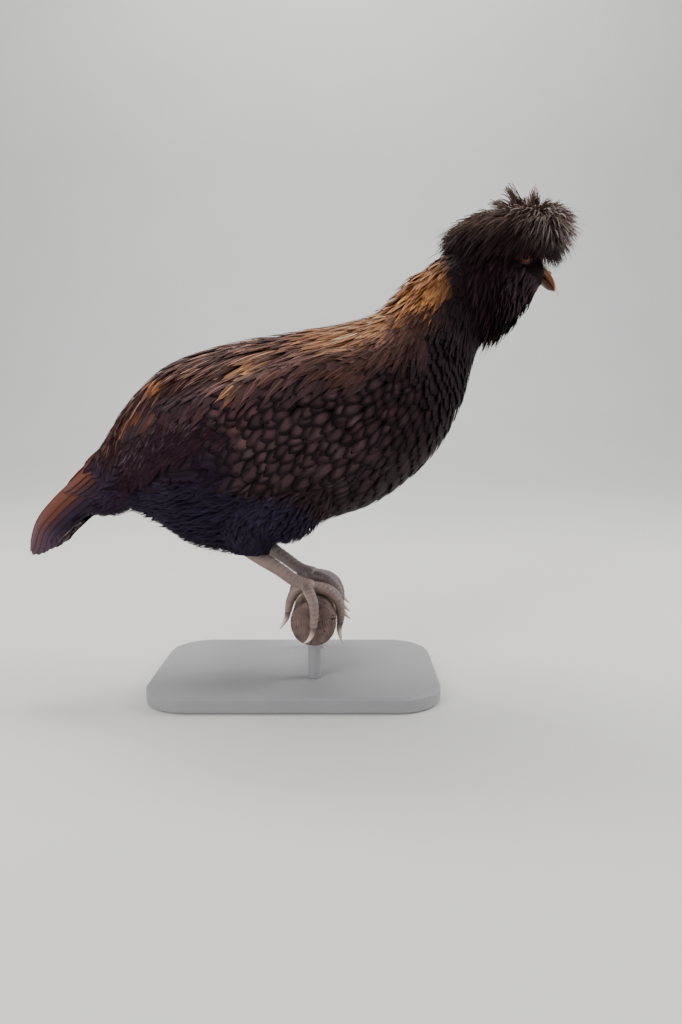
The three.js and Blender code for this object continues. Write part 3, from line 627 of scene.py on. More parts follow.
def vane_group(name):
    """Masks of a feather from its own UV map, u across and v along: its laced edge, its shaft and its
    barbs, which are fine lines that leave the shaft on a slant."""
    values = {"Lace from": 0.62, "Lace to": 0.8, "Barbs": 36.0, "Shaft": 0.08}
    group, given, put = new_group(name, values, ("Lace", "Shaft", "Barb"))
    uv = group.nodes.new("ShaderNodeUVMap")
    uv.uv_map = "vane"
    split = group.nodes.new("ShaderNodeSeparateXYZ")
    group.links.new(uv.outputs[0], split.inputs[0])
    side = math(group, "ABSOLUTE", math(group, "MULTIPLY_ADD", split.outputs[0], 2.0, -1.0))
    tip = math(group, "MAXIMUM", math(group, "MULTIPLY_ADD", split.outputs[1], 1.75, -0.75), 0.0)
    squares = [math(group, "POWER", value, 2.0) for value in (side, tip)]
    reach = math(group, "SQRT", math(group, "ADD", *squares))
    lace = ramp(group, reach, given.outputs["Lace from"], given.outputs["Lace to"])
    shaft = math(group, "SUBTRACT", 1.0, ramp(group, side, 0.0, given.outputs["Shaft"]))
    slant = math(group, "SUBTRACT", split.outputs[1], math(group, "MULTIPLY", side, 0.22))
    turns = math(group, "MULTIPLY", slant, given.outputs["Barbs"])
    waves = math(group, "SINE", math(group, "MULTIPLY", turns, TURN))
    barb = math(group, "MULTIPLY_ADD", waves, 0.5, 0.5)
    for label, mask in (("Lace", lace), ("Shaft", shaft), ("Barb", barb)):
        group.links.new(mask, put.inputs[label])
    return group


def mottle_group(name):
    """Soft light and dark patches and a fine grain, from Object coordinates."""
    group, given, put = new_group(name, {"Patches": 60.0, "Grain": 900.0}, ("Patch", "Fine"))
    vector = place(group)
    for label, source in (("Patch", "Patches"), ("Fine", "Grain")):
        node = group.nodes.new("ShaderNodeTexNoise")
        node.inputs["Detail"].default_value = 4.0
        group.links.new(vector, node.inputs["Vector"])
        group.links.new(given.outputs[source], node.inputs["Scale"])
        group.links.new(node.outputs["Fac"], put.inputs[label])
    return group


def mottle(tree, patches, grain):
    """The mottle's patches and its fine grain, at so many to the metre."""
    found = group_node(tree, shared("Mottle", mottle_group), Patches=patches, Grain=grain)
    return found["Patch"], found["Fine"]


def material(name, **constants):
    """A material with its shader, whose constant numbers are set on the shader's own sockets."""
    made = bpy.data.materials.new(name)
    made.use_nodes = True
    shader = made.node_tree.nodes["Principled BSDF"]
    for key, value in constants.items():
        shader.inputs[key.replace("_", " ")].default_value = value
    return made, made.node_tree, shader


def finish(tree, shader, tone, roughness, relief, strength, height):
    """Feeds the shader its colour, its roughness and the normal of a relief that is so many metres high."""
    bump = tree.nodes.new("ShaderNodeBump")
    bump.inputs["Strength"].default_value = strength
    bump.inputs["Distance"].default_value = height
    tree.links.new(relief, bump.inputs["Height"])
    for label, value in (("Base Color", tone), ("Roughness", roughness), ("Normal", bump.outputs[0])):
        tree.links.new(value, shader.inputs[label])


def plumage_material(name, lace=1.0, lace_from=0.62, lace_to=0.8, barbs=36.0, shaft=0.35, shaft_width=0.08,
                     gloss=0.5, shine=0.09):
    """Feathers in the mesh's own ground and edge colours, with barbs, shaft and a soft patchiness."""
    made, tree, shader = material(name, Specular_IOR_Level=shine)
    vane = group_node(tree, shared("Feather vane", vane_group), Lace_from=lace_from, Lace_to=lace_to,
                      Barbs=barbs, Shaft=shaft_width)
    patch, grain = mottle(tree, 90.0, 1400.0)
    wear = math(tree, "MULTIPLY", vane["Lace"], ramp(tree, patch, 0.3, 0.5, 0.6, 1.0))
    base = two_tone(tree, math(tree, "MULTIPLY", wear, lace))
    base = blend_colour(tree, math(tree, "MULTIPLY", vane["Shaft"], shaft), base, attribute(tree, "edge"))
    fine = math(tree, "MULTIPLY", vane["Barb"], ramp(tree, grain, 0.35, 0.65, 0.5, 1.0))
    grey = tree.nodes.new("ShaderNodeCombineColor")
    shade = ramp(tree, fine, 0.0, 1.0, 0.72, 1.16)
    for socket in grey.inputs:
        tree.links.new(shade, socket)
    base = blend_colour(tree, 1.0, base, grey.outputs[0], "MULTIPLY")
    rough = ramp(tree, fine, 0.0, 1.0, gloss + 0.14, gloss - 0.06)
    finish(tree, shader, base, rough, fine, 0.35, 0.0003)
    return made


# What sets each kind of plumage apart from plumage_material's own values
LOOKS = {
    "Laced feathers": {"lace": 0.95, "lace_from": 0.3, "lace_to": 0.88, "shaft": 0.1, "shine": 0.06},
    "Streaked feathers": {"lace": 0.4, "lace_from": 0.8, "lace_to": 1.0, "shaft": 1.0, "shaft_width": 0.36,
                          "barbs": 44.0, "shine": 0.06},
    "Fluff": {"lace": 0.3, "barbs": 18.0, "shaft": 0.0, "gloss": 0.62},
    "Hackle": {"lace": 0.95, "lace_from": 0.5, "lace_to": 0.8, "shaft": 0.0, "gloss": 0.45, "barbs": 40.0,
               "shine": 0.1},
    "Face feathers": {"lace": 0.4, "barbs": 12.0, "shaft": 0.0},
    "Crest feathers": {"lace": 0.5, "barbs": 24.0, "shaft": 0.2, "shine": 0.06},
    "Beard": {"lace": 0.4, "barbs": 16.0, "shaft": 0.0, "gloss": 0.6},
    "Flight feathers": {"lace_from": 0.8, "lace_to": 0.98, "barbs": 120.0, "shaft": 0.15},
    "Saddle hackles": {"lace": 0.25, "lace_from": 0.8, "lace_to": 1.0, "shaft": 0.95, "shaft_width": 0.5,
                       "barbs": 40.0},
    "Tail feathers": {"lace": 0.5, "lace_from": 0.78, "lace_to": 1.0, "barbs": 110.0, "shaft": 0.3},
}


def skin_material(name):
    """Skin in the coat's own markings and painted light, faintly pimpled."""
    made, tree, shader = material(name, Specular_IOR_Level=0.2)
    patch, fine = mottle(tree, 120.0, 1600.0)
    tone = two_tone(tree, ramp(tree, patch, 0.3, 0.7))
    finish(tree, shader, tone, ramp(tree, fine, 0.3, 0.7, 0.55, 0.8), fine, 0.4, 0.0005)
    return made


def horn_material(name, streaks):
    """Horn in the mesh's ground colour with fine growth lines of its edge colour."""
    made, tree, shader = material(name, Coat_Weight=0.05, Coat_Roughness=0.3, Specular_IOR_Level=0.3)
    lines = noise(tree, place(tree, streaks), 4.0, 5.0)
    patch, _ = mottle(tree, 160.0, 2400.0)
    uneven = math(tree, "ADD", lines, math(tree, "MULTIPLY_ADD", patch, 0.6, -0.3))
    tone = two_tone(tree, ramp(tree, uneven, 0.62, 0.36, 0.0, 0.8))
    finish(tree, shader, tone, ramp(tree, lines, 0.3, 0.7, 0.52, 0.36), lines, 0.25, 0.0003)
    return made


def scale_material(name):
    """Scaled skin of the legs: the mesh's ground colour, turned in soft patches part way towards its edge
    colour.
    """
    made, tree, shader = material(name, Specular_IOR_Level=0.45)
    patch, fine = mottle(tree, 140.0, 2200.0)
    tone = two_tone(tree, ramp(tree, patch, 0.35, 0.65, 0.0, 0.4))
    finish(tree, shader, tone, ramp(tree, fine, 0.3, 0.7, 0.38, 0.58), fine, 0.3, 0.0004)
    return made


def eye_material(name):
    """Wet and glossy, in the ball's own colours."""
    made, tree, shader = material(name, Coat_Weight=0.12, Coat_Roughness=0.05, Specular_IOR_Level=0.08)
    tree.links.new(attribute(tree, "ground"), shader.inputs["Base Color"])
    wet = ramp(tree, noise(tree, place(tree), 900.0), 0.3, 0.7, 0.12, 0.2)
    tree.links.new(wet, shader.inputs["Roughness"])
    return made


def wood_material(name):
    """Peeled pole: pale cream with long grain and cracks, darker at the near end, and on the sawn ends
    faint wavy rings about the axis with cracks that run out from it."""
    made, tree, shader = material(name, Specular_IOR_Level=0.3)
    grain = noise(tree, place(tree, (260, 9, 260)), 1.0, 6.0, 0.6)
    broad = noise(tree, place(tree, (45, 12, 45)), 1.0, 4.0)
    speck = noise(tree, place(tree, (160, 160, 160)), 1.0, 5.0, 0.65)
    coordinates = tree.nodes.new("ShaderNodeTexCoord")
    split = tree.nodes.new("ShaderNodeSeparateXYZ")
    tree.links.new(coordinates.outputs["Object"], split.inputs[0])
    x, y, z = split.outputs
    height = math(tree, "SUBTRACT", z, POLE["height"] * 0.001)
    squares = [math(tree, "POWER", value, 2.0) for value in (x, height)]
    radius = math(tree, "MAXIMUM", math(tree, "SQRT", math(tree, "ADD", *squares)), 0.0005)
    wavy = math(tree, "ADD", radius, math(tree, "MULTIPLY", broad, 0.006))
    rings = math(tree, "SINE", math(tree, "MULTIPLY", wavy, 4700.0))
    rings = math(tree, "MULTIPLY_ADD", rings, 0.16, speck)
    outward = [math(tree, "DIVIDE", value, radius) for value in (x, height)]
    spoke = tree.nodes.new("ShaderNodeCombineXYZ")
    for socket, value in zip(spoke.inputs, (*outward, math(tree, "MULTIPLY", radius, 30.0))):
        tree.links.new(value, socket)
    crack = ramp(tree, noise(tree, spoke.outputs[0], 5.0, 3.0), 0.34, 0.4)
    ends = [ramp(tree, y, (end + 1.2 * inward) * 0.001, (end + 0.4 * inward) * 0.001)
            for end, inward in ((POLE["near"], 1), (POLE["far"], -1))]
    on_end = math(tree, "MAXIMUM", *ends)
    pole, dark_wood = colour("pole"), colour("dark_wood")
    peeled = blend_colour(tree, ramp(tree, grain, 0.36, 0.66), pole * [0.62, 0.55, 0.48], pole)
    rough = ramp(tree, math(tree, "ADD", grain, speck), 0.8, 1.2)
    # The pole turns dark towards its near end.
    dark_near_end = blend_colour(tree, rough, dark_wood * 0.4, dark_wood * 1.2)
    along = math(tree, "ADD", y, math(tree, "MULTIPLY_ADD", broad, 0.05, -0.025))
    side = blend_colour(tree, ramp(tree, along, -0.012, -0.034), peeled, dark_near_end)
    sawn = blend_colour(tree, ramp(tree, rings, 0.3, 0.72), dark_wood * 0.5, dark_wood * 1.7)
    sawn = blend_colour(tree, crack, dark_wood * 0.2, sawn)
    relief = math(tree, "MULTIPLY", math(tree, "MULTIPLY", rings, on_end), 0.5)
    finish(tree, shader, blend_colour(tree, on_end, side, sawn), ramp(tree, grain, 0.3, 0.7, 0.8, 0.62),
           math(tree, "ADD", grain, relief), 0.5, 0.0009)
    return made


def stand_material(name):
    """Matt grey paint with a faint orange-peel texture and slightly worn patches."""
    made, tree, shader = material(name, Specular_IOR_Level=0.4)
    patch, fine = mottle(tree, 14.0, 1500.0)
    grey = colour("stand")
    tone = blend_colour(tree, ramp(tree, patch, 0.3, 0.7), grey * 0.93, grey)
    finish(tree, shader, tone, ramp(tree, patch, 0.3, 0.7, 0.42, 0.54), fine, 0.12, 0.0002)
    return made


def floor_material(name):
    """A pale matt studio floor with very faint clouding."""
    made, tree, shader = material(name, Specular_IOR_Level=0.2, Roughness=0.7)
    pale = colour("floor")
    cloud = ramp(tree, noise(tree, place(tree), 3.0), 0.3, 0.7)
    tree.links.new(blend_colour(tree, cloud, pale * 0.97, pale), shader.inputs["Base Color"])
    return made


# Sizes and colours that a user would change


def paint(label, text, default):
    """A colour property."""
    return FloatVectorProperty(name=label, description=text, subtype="COLOR", min=0, max=1, default=default)


def length(label, text, default):
    """A length property, in metres."""
    return FloatProperty(name=label, description=text, unit="LENGTH", default=default, min=0)


class HenSizes(bpy.types.PropertyGroup):
    """Sizes of the feathers."""

    body_feather: FloatProperty(name="Body feathers", description="Their size, as a factor",
                                default=1.0, min=0.5, max=1.5)
    crest_feather: length("Crest feather", "Half width of a crest feather", 0.00115)
    head_feather: length("Head feather", "Length of a feather of the face", 0.0052)


class HenColours(bpy.types.PropertyGroup):
    """Colours of the plumage, legs, pole and stand."""

    gold: paint("Gold", "Nape and shoulders", (0.20, 0.070, 0.026))
    gold_edge: paint("Gold edge", "Edges of the golden feathers", (0.80, 0.35, 0.125))
    orange: paint("Orange", "Streak over the wing and patches on the rump", (0.47, 0.16, 0.045))
    scapular: paint("Scapular", "Brown feathers between shoulder and back", (0.12, 0.052, 0.040))
    back: paint("Back", "Back feathers", (0.025, 0.0078, 0.0086))
    # Pale gold: the shoulder feathers' own pale edges, and a painted highlight on them and on the orange
    # streak.
    pale_gold_and_highlight: paint("Pale gold", "Edges of the brightest shoulder feathers", (0.96, 0.57, 0.33))
    bay: paint("Wing bay", "Reddish feathers over the folded wing", (0.105, 0.045, 0.054))
    buff: paint("Buff", "Edges of the back feathers", (0.72, 0.36, 0.255))
    # Painted sheen along the shafts of the saddle hackles and back feathers.
    sheen: paint("Sheen", "Pale streaks of the saddle hackles", (0.17, 0.115, 0.14))
    flank: paint("Flank", "Flank feathers", (0.064, 0.036, 0.041))
    breast: paint("Breast", "Breast feathers", (0.0175, 0.0072, 0.0098))
    lacing: paint("Lacing", "Dark edges of the breast and flank feathers", (0.0085, 0.0042, 0.0058))
    belly: paint("Belly", "Fluff of belly and thighs", (0.0195, 0.0145, 0.030))
    wing: paint("Wing", "Flight feathers", (0.0165, 0.0085, 0.0165))
    head: paint("Head", "Face, cheeks and neck", (0.0185, 0.0082, 0.0112))
    beard_tip: paint("Beard tips", "Lower edge of the beard", (0.12, 0.05, 0.025))
    # Olive brown of the crest's strands, shown where painted light falls on them.
    crest: paint("Crest", "Streaks in the crest", (0.29, 0.185, 0.145))
    # Painted rim light on the tips of the crest's front feathers.
    crest_rim_light: paint("Crest tips", "Tips of the crest's front feathers", (0.82, 0.68, 0.62))
    chestnut: paint("Chestnut", "Upper edge of the tail", (0.155, 0.050, 0.030))
    tail: paint("Tail", "Lower tail feathers", (0.031, 0.018, 0.034))
    tail_tip: paint("Tail tips", "Worn tips of the tail feathers", (0.135, 0.082, 0.115))
    tail_down: paint("Tail down", "Pale down under the tail", (0.27, 0.20, 0.22))
    leg: paint("Leg", "Scales of shank and toes", (0.27, 0.19, 0.165))
    leg_dark: paint("Leg, dark", "Skin between the scales", (0.075, 0.06, 0.062))
    # Pale horn of the claws, and the painted highlight on the bill's ridge.
    horn: paint("Horn", "Pale horn of the bill and claws", (0.95, 0.77, 0.63))
    horn_dark: paint("Horn, dark", "Dark horn at the sides of the bill", (0.20, 0.075, 0.033))
    iris: paint("Iris", "Ring round the pupil", (0.13, 0.03, 0.008))
    pole: paint("Pole", "Peeled wood", (0.66, 0.55, 0.42))
    dark_wood: paint("Dark wood", "Darker near end of the pole", (0.13, 0.085, 0.075))
    stand: paint("Stand", "Paint of the display stand", (0.33, 0.33, 0.34))
    floor: paint("Floor", "Studio floor", (0.80, 0.79, 0.77))


# Operators, one for each piece or group of like pieces


class HEN_OT_skin(bpy.types.Operator):
    """Skin of trunk, neck, head and thighs under the feathers"""

    bl_idname = "hen.skin"
    bl_label = "Skin"

    def execute(self, context):
        parts = [closed_tube(lambda t, a: body(0.06 + 0.94 * t, a, 0.0), 150, 96)]
        for side in (1, -1):
            surface = thigh(side)
            parts.append(closed_tube(lambda t, a: surface(0.03 + 0.97 * t, a, 0.0), 40, 40))
        look = shared("Skin", skin_material)
        skin = build("skin", *together(parts), look, "feather",
                     replaces=("torso", "neck", "head", "thigh_left", "thigh_right"))
        merge = skin.modifiers.new("Fuse", "REMESH")
        merge.mode = "VOXEL"
        merge.voxel_size = SKIN_VOXEL
        merge.use_smooth_shade = True
        fused = bpy.data.meshes.new_from_object(skin.evaluated_get(context.evaluated_depsgraph_get()))
        skin.modifiers.clear()
        skin.data = fused
        places = np.empty(len(fused.vertices) * 3)
        fused.vertices.foreach_get("co", places)
        tint(fused, markings(places.reshape(-1, 3) * 1000))
        if not fused.materials:
            fused.materials.append(look)
        return {"FINISHED"}


def body_coat(sections, count, ratio, size, kind, grid, seed, keep, lean, lift, high=None, arch=0.5,
              bright=None, wobble=0.12, sunk=None):
    """Feathers over the trunk between two of its numbered sections, which lie towards the tail and a little
    downwards. size(root, pitch) gives their lengths and widths, keep(a, root) picks the roots, lean(root)
    turns the feathers downwards, high(root) raises the tips, bright(root) is the least share at which the
    edge colour shows, and sunk is the share of the coat's depth at which they start, which is otherwise
    just under the skin."""
    stretch = [number / LAST for number in sections]
    u, a, per_u, per_a, pitch = lattice(coat, stretch, count, ratio, seed, wobble)
    root = body(u, a, 0.0)
    rng = np.random.default_rng(seed + 50)
    mask = keep(a, root + rng.normal(0, 2.2, root.shape))
    u, a, per_u, per_a, pitch, root = (x[mask] for x in (u, a, per_u, per_a, pitch, root))
    n = len(u)
    turn = np.sign(np.cos(a)) * np.abs(np.cos(a)) ** 0.6 * lean(root) + rng.normal(0, 0.085, n)
    long, wide = size(root, pitch)
    vary = np.exp(rng.normal(0, 0.08, n))
    tips = coat_depth(u) + lift + rng.normal(0, 0.18, n) + (high(root) if high else 0)
    start = sunk * coat_depth(u) if sunk else np.full(n, -0.4)
    points = drape(coat, u, a, per_u, -per_a, -1, turn, long * vary, wide * vary, (start, tips), kind,
                   *grid, arch, seed)
    ground, edge = markings(root)
    if bright:
        least = bright(root)
        edge = mix(ground, edge, least + (1 - least) * rng.uniform(0, 1, n) ** 2.2)
    return points, varied(ground, seed, 0.2), varied(edge, seed + 1, 0.26), (u, (a / TURN) % 1)


def below_ridge(root):
    """How far a point lies below the back's ridge, counted a little more towards the sides."""
    return along_x(root, TOPS[:, 0], TOPS[:, 1]) - root[:, 2] + 0.1 * np.abs(root[:, 1])


def under_wing(root):
    """Where the folded flight feathers hide the coat."""
    x, z = root[:, 0], root[:, 2]
    low = along_x(root, [-150, -60, 20], [172, 184, 197])
    high = along_x(root, [-150, -110, 12], [192, 214, 250])
    return (x > -150) & (x < -74) & (z > low - 9) & (z < high - 2)


def fluff_line(x):
    """How high the fluff of belly and vent reaches up the flank."""
    return np.interp(x, [-180, -150, -120, -60, -10, 20], [168, 170, 176, 179, 166, 150])


class HEN_OT_body_feathers(bpy.types.Operator):
    """Laced feathers of breast, flank and wing shoulder, the long feathers of back and saddle, and the
    fluff of belly and vent"""

    bl_idname = "hen.body_feathers"
    bl_label = "Body feathers"

    def execute(self, context):
        scale = context.scene.hen_sizes.body_feather

        def laced_size(root, pitch):
            large = scale * np.interp(root[:, 2], [150, 195, 240], [1.3, 1.12, 0.95])
            return pitch * 3.0 * large, pitch * 1.5 * large

        def laced_keep(a, root):
            fluffy = (root[:, 2] < fluff_line(root[:, 0]) - 6) & (root[:, 0] < 14)
            top = along_x(root, [-60, 40, 100], [34, 30, 20])
            return (below_ridge(root) > top) & ~fluffy & ~under_wing(root)

        def back_size(root, pitch):
            long = along_x(root, [-175, -150, -120, -60, 60], [18, 27, 35, 38, 32])
            return long * scale, along_x(root, [-175, -120, -60, 60], [4.4, 6.4, 7.0, 6.0]) * scale

        def back_keep(a, root):
            lowest = along_x(root, [-170, -150, -120, -60], [60, 60, 54, 46])
            over_tail = root[:, 2] > along_x(root, [-180, -150, -110], [158, 180, 196])
            return (below_ridge(root) < lowest) & over_tail & ~under_wing(root)

        def back_lean(root):
            low = smooth(18, 44, below_ridge(root))
            return along_x(root, [-140, -60, 40], [0.8, 0.62, 0.34]) + 0.2 * low

        def back_bright(root):
            least = 0.02 + 0.1 * smooth(-80, -50, root[:, 0]) + 0.42 * smooth(-10, 25, root[:, 0])
            return least + 0.4 * orange_streak(root[:, 0] - 20, root[:, 2] - 13, 6)

        plumage("feathers_breast_and_flank", *body_coat(
            (1.9, 12.3), 68, 1.45, laced_size, "round", (8, 7), 11, laced_keep,
            lambda r: along_x(r, [-120, -40, 60], [0.55, 0.36, 0.26]), 0.6, arch=0.2, wobble=0.27, sunk=0.3,
        ), "Laced feathers", "feather")
        plumage("feathers_back_and_saddle", *body_coat(
            (0.5, 9.2), 84, 1.55, back_size, "lance", (10, 5), 12, back_keep, back_lean, 1.4, arch=0.35,
            wobble=0.36, sunk=0.2, bright=back_bright,
        ), "Streaked feathers", "feather")
        plumage("fluff_of_belly", *body_coat(
            (1.9, 7.6), 112, 0.9, lambda r, pitch: (17.0, 3.4), "fluff", (7, 3), 13,
            lambda a, r: (r[:, 2] < fluff_line(r[:, 0])) & (r[:, 0] < 22), lambda r: 0.1, 1.4,
            high=lambda r: np.random.default_rng(3).gamma(1.2, 0.7, len(r)),
        ), "Fluff", "feather")
        plumage("fluff_of_vent", *body_coat(
            (0.9, 3.2), 64, 0.5, lambda r, pitch: (19.0, 2.6), "fluff", (8, 3), 14,
            lambda a, r: (np.sin(a) < -0.35) & (r[:, 2] < 170), lambda r: 0.0, 1.0,
            high=lambda r: np.random.default_rng(4).uniform(0, 6.5, len(r)),
        ), "Fluff", "feather")
        return {"FINISHED"}


class HEN_OT_neck_feathers(bpy.types.Operator):
    """Hackle of the neck: slim pointed feathers, gold-edged along the nape and dark at the sides"""

    bl_idname = "hen.neck_feathers"
    bl_label = "Neck feathers"

    def execute(self, context):
        def size(root, pitch):
            long = along_x(root, [40, 80, 130], [31, 29, 16])
            return long, along_x(root, [40, 90, 130], [4.8, 3.8, 3.0])

        def high(root):
            tousled = np.random.default_rng(22).uniform(0.2, 1, len(root))
            nape = np.exp(-(((root[:, 0] - 92) / 21) ** 2))
            return 9.5 * nape * smooth(24, 4, below_ridge(root)) * tousled

        plumage("feathers_of_neck", *body_coat(
            (8.0, 12.5), 84, 1.3, size, "lance", (10, 5), 21,
            lambda a, r: below_ridge(r) < along_x(r, [40, 90, 125], [30, 40, 80]),
            lambda r: along_x(r, [40, 110], [0.25, 0.12]), 1.3, wobble=0.25, sunk=0.2, high=high,
            bright=lambda r: 0.35,
        ), "Hackle", "hackle")
        return {"FINISHED"}


class HEN_OT_head_feathers(bpy.types.Operator):
    """The smallest feathers, on the face, with the eyelids"""

    bl_idname = "hen.head_feathers"
    bl_label = "Head feathers and eyelids"

    def execute(self, context):
        long = context.scene.hen_sizes.head_feather * 1000

        def size(root, pitch):
            at = [125, 150, 172, 181]
            lengths = along_x(root, at, [long * 1.5, long * 1.1, long * 0.8, long * 0.6])
            return lengths, along_x(root, at, [2.4, 1.7, 1.2, 0.8])

        def keep(a, root):
            return np.hypot((root[:, 0] - EYE["x"] - 1.5) / 1.05, root[:, 2] - EYE["z"]) > EYE["bare"]

        plumage("feathers_of_face", *body_coat(
            (12.1, 15.93), 100, 0.85, size, "lance", (6, 3), 31, keep, lambda r: 0.15, 0.45, arch=0.9,
        ), "Face feathers", "feather")
        eyelids()
        return {"FINISHED"}


def eye_y():
    """How far the eye's centre lies from the plane of symmetry."""
    return float(trunk_side(np.array(EYE["x"]), np.array(EYE["z"]))) - EYE["radius"] + EYE["proud"]


def eyelids():
    """Bare lids: rings round each eye that start on the ball at an almond opening, roll over a rim and sink
    into the skin. r runs outwards from 0 to 1 and a turns round the eye's axis."""
    r, a = tube_grid(22, 64)
    wide = np.interp(r, [0, 0.25, 1], [4.15, 5.1, 9.2])
    tall = np.interp(r, [0, 0.25, 1], [3.35, 4.5, 8.2])
    wrinkle = 0.12 * np.sin(11 * a + 3 * r) * smooth(0.2, 0.5, r) * smooth(1, 0.7, r)
    x = EYE["x"] + (wide + wrinkle) * np.cos(a) + 0.5 * np.cos(a) ** 3
    z = EYE["z"] + (tall + wrinkle) * np.sin(a)
    reach = np.hypot(x - EYE["x"], z - EYE["z"])
    ball = eye_y() + np.sqrt(np.maximum(0, EYE["radius"] ** 2 - reach**2)) + 0.2
    sunk = trunk_side(x, z) - 1.9
    rim = 0.55 * np.exp(-(((r - 0.22) / 0.16) ** 2)) + 0.25 * np.exp(-(((r - 0.55) / 0.1) ** 2))
    y = ball + (sunk - ball) * smooth(0.18, 0.95, r) + rim
    left = np.stack([x, y, z], -1).reshape(-1, 3)
    faces = grid_faces(*r.shape, closed=True)
    points, faces = together([(left, [faces]), (left * [1, -1, 1], [faces[:, ::-1]])])
    bare = np.tile(colour("head") * 1.9 + [0.02, 0.008, 0.006], (len(points), 1))
    build("eyelids", points, faces, shared("Skin", skin_material), "feather", tones=(bare, bare * 0.6))


# The crest: the knob it grows from and its half sizes, and by level from low to high how steeply feathers
# rise, where they end in front, at the side and behind (reach from the knob, and height), and their arch.
# Its feathers gather in so many locks.
CREST = {
    "locks": 190,
    "root": (160.0, 0.0, 364.0),
    "bulb": (16.0, 15.0, 9.0),
    "level": [0, 0.15, 0.3, 0.6, 0.85, 1],
    "rise": [-8, 2, 14, 38, 62, 80],
    "front": [(40, 338), (50, 346), (56, 357), (55, 372), (47, 381), (34, 385)],
    "side": [(36, 334), (40, 341), (42, 348), (40, 361), (31, 373), (20, 380)],
    "back": [(46, 343), (49, 348), (50, 353), (46, 362), (36, 372), (25, 379)],
    "arch": [7, 7, 7, 5, 3, 1.5],
}
# Tips of the upright tufts on top
TUFTS = [
    (150, -5, 400), (152, -3, 399), (153, 0, 397), (156, 2, 393), (146, 4, 391), (160, -4, 390),
    (171, -6, 397), (173, -3, 395), (169, 3, 393), (178, 4, 391), (184, -5, 389), (190, 2, 388),
    (140, -3, 387), (166, 7, 389),
]


def crest_tips(azimuth, level, stray, rng):
    """Where crest feathers end: on the outline of the crest for their level, which is blended from those in
    front, at the sides and behind, and swept back at the sides."""
    ends = {key: np.array(CREST[key], float) for key in ("front", "side", "back")}
    forward = np.maximum(0, np.cos(azimuth)) ** 2
    rear = np.maximum(0, -np.cos(azimuth)) ** 2
    shares = (("front", forward), ("back", rear), ("side", 1 - forward - rear))
    reach, height = (
        sum(w * np.interp(level, CREST["level"], ends[k][:, i]) for k, w in shares) for i in (0, 1)
    )
    reach = reach * rng.normal(0.97, stray, len(azimuth))
    swept = azimuth + 0.78 * np.sin(azimuth) * (1 - 0.4 * level)
    height = height + rng.normal(0, 30 * stray, len(azimuth))
    return np.stack([150 + reach * np.cos(swept), reach * np.sin(swept), height], -1)


def crest_batch(count, rows, columns, half, stray, seed, tufts):
    """Long slim feathers that rise from the knob on the skull, arch over and hang, like a fountain that is
    blown back. A feather's azimuth and level are seeded random, its shaft is a straight line raised by a
    parabola, and its tip is drawn towards that of the nearest of the crest's locks, or of its tuft on
    top."""
    rng = np.random.default_rng(seed)
    front = rng.random(count) < 0.3
    azimuth = np.where(front, rng.normal(0, 0.55, count), rng.uniform(-np.pi, np.pi, count))
    level = np.full(count, 1.0) if tufts else rng.beta(1.0, 1.15, count)
    lock_azimuth = np.random.default_rng(7).uniform(-np.pi, np.pi, CREST["locks"])
    lock_level = np.random.default_rng(8).beta(1.0, 1.2, CREST["locks"])
    lock_tip = crest_tips(lock_azimuth, lock_level, 0.05, np.random.default_rng(9))
    turn = np.abs((azimuth[:, None] - lock_azimuth + np.pi) % TURN - np.pi)
    nearest = np.argmin(turn + 1.6 * np.abs(level[:, None] - lock_level), axis=1)
    tip = crest_tips(azimuth, level, stray, rng)
    tip = tip + (lock_tip[nearest] - tip) * rng.uniform(0.05, 0.5, (count, 1))
    rise = np.radians(np.interp(level, CREST["level"], CREST["rise"]))
    out = np.stack([np.cos(azimuth), np.sin(azimuth), np.zeros(count)], -1)
    root = CREST["root"] + out * CREST["bulb"] * np.cos(rise)[:, None] * rng.uniform(0.3, 1, (count, 1))
    root[:, 2] += CREST["bulb"][2] * np.sin(rise) * 0.9 - 2
    arch = np.interp(level, CREST["level"], CREST["arch"]) * rng.uniform(0.7, 1.2, count)
    if tufts:
        tip = np.array(TUFTS, float)[rng.integers(0, len(TUFTS), count)] + rng.normal(0, 1.9, (count, 3))
        root = np.stack([168 + 0.3 * (tip[:, 0] - 160), tip[:, 1], np.full(count, 372)], -1)
        root = root + rng.normal(0, 2, (count, 3))
        arch = rng.uniform(1, 4, count)
    s, v = feather_grid(rows, columns)
    up = np.array([0, 0, 1.0])
    shaft = root[:, None, None] + (tip - root)[:, None, None] * s[..., None]
    shaft = shaft + up * (arch[:, None, None] * 4 * s * (1 - s) ** 0.8)[..., None]
    ahead = unit((tip - root) * [1, 1, 0])
    curl = np.stack([-ahead[:, 1], ahead[:, 0], np.zeros(count)], -1)[:, None, None]
    bulge = 11 * np.abs(np.sin(azimuth)) * (1 - 0.5 * level) * (not tufts)
    shaft = shaft + out[:, None, None] * (bulge[:, None, None] * 4 * s * (1 - s))[..., None]
    shaft = shaft + curl * (rng.normal(0, 1.3, count)[:, None, None] * np.sin(3.1 * s))[..., None]
    roll = rng.normal(0, 0.5, count)[:, None, None, None]
    across = curl * np.cos(roll) + up * np.sin(roll)
    size = half * np.exp(rng.normal(0, 0.2, count))[:, None, None]
    points = shaft + across * (size * outline("lance", s) * v)[..., None]
    points = points - up * (0.35 * size * v**2)[..., None]
    return points, azimuth, level, s


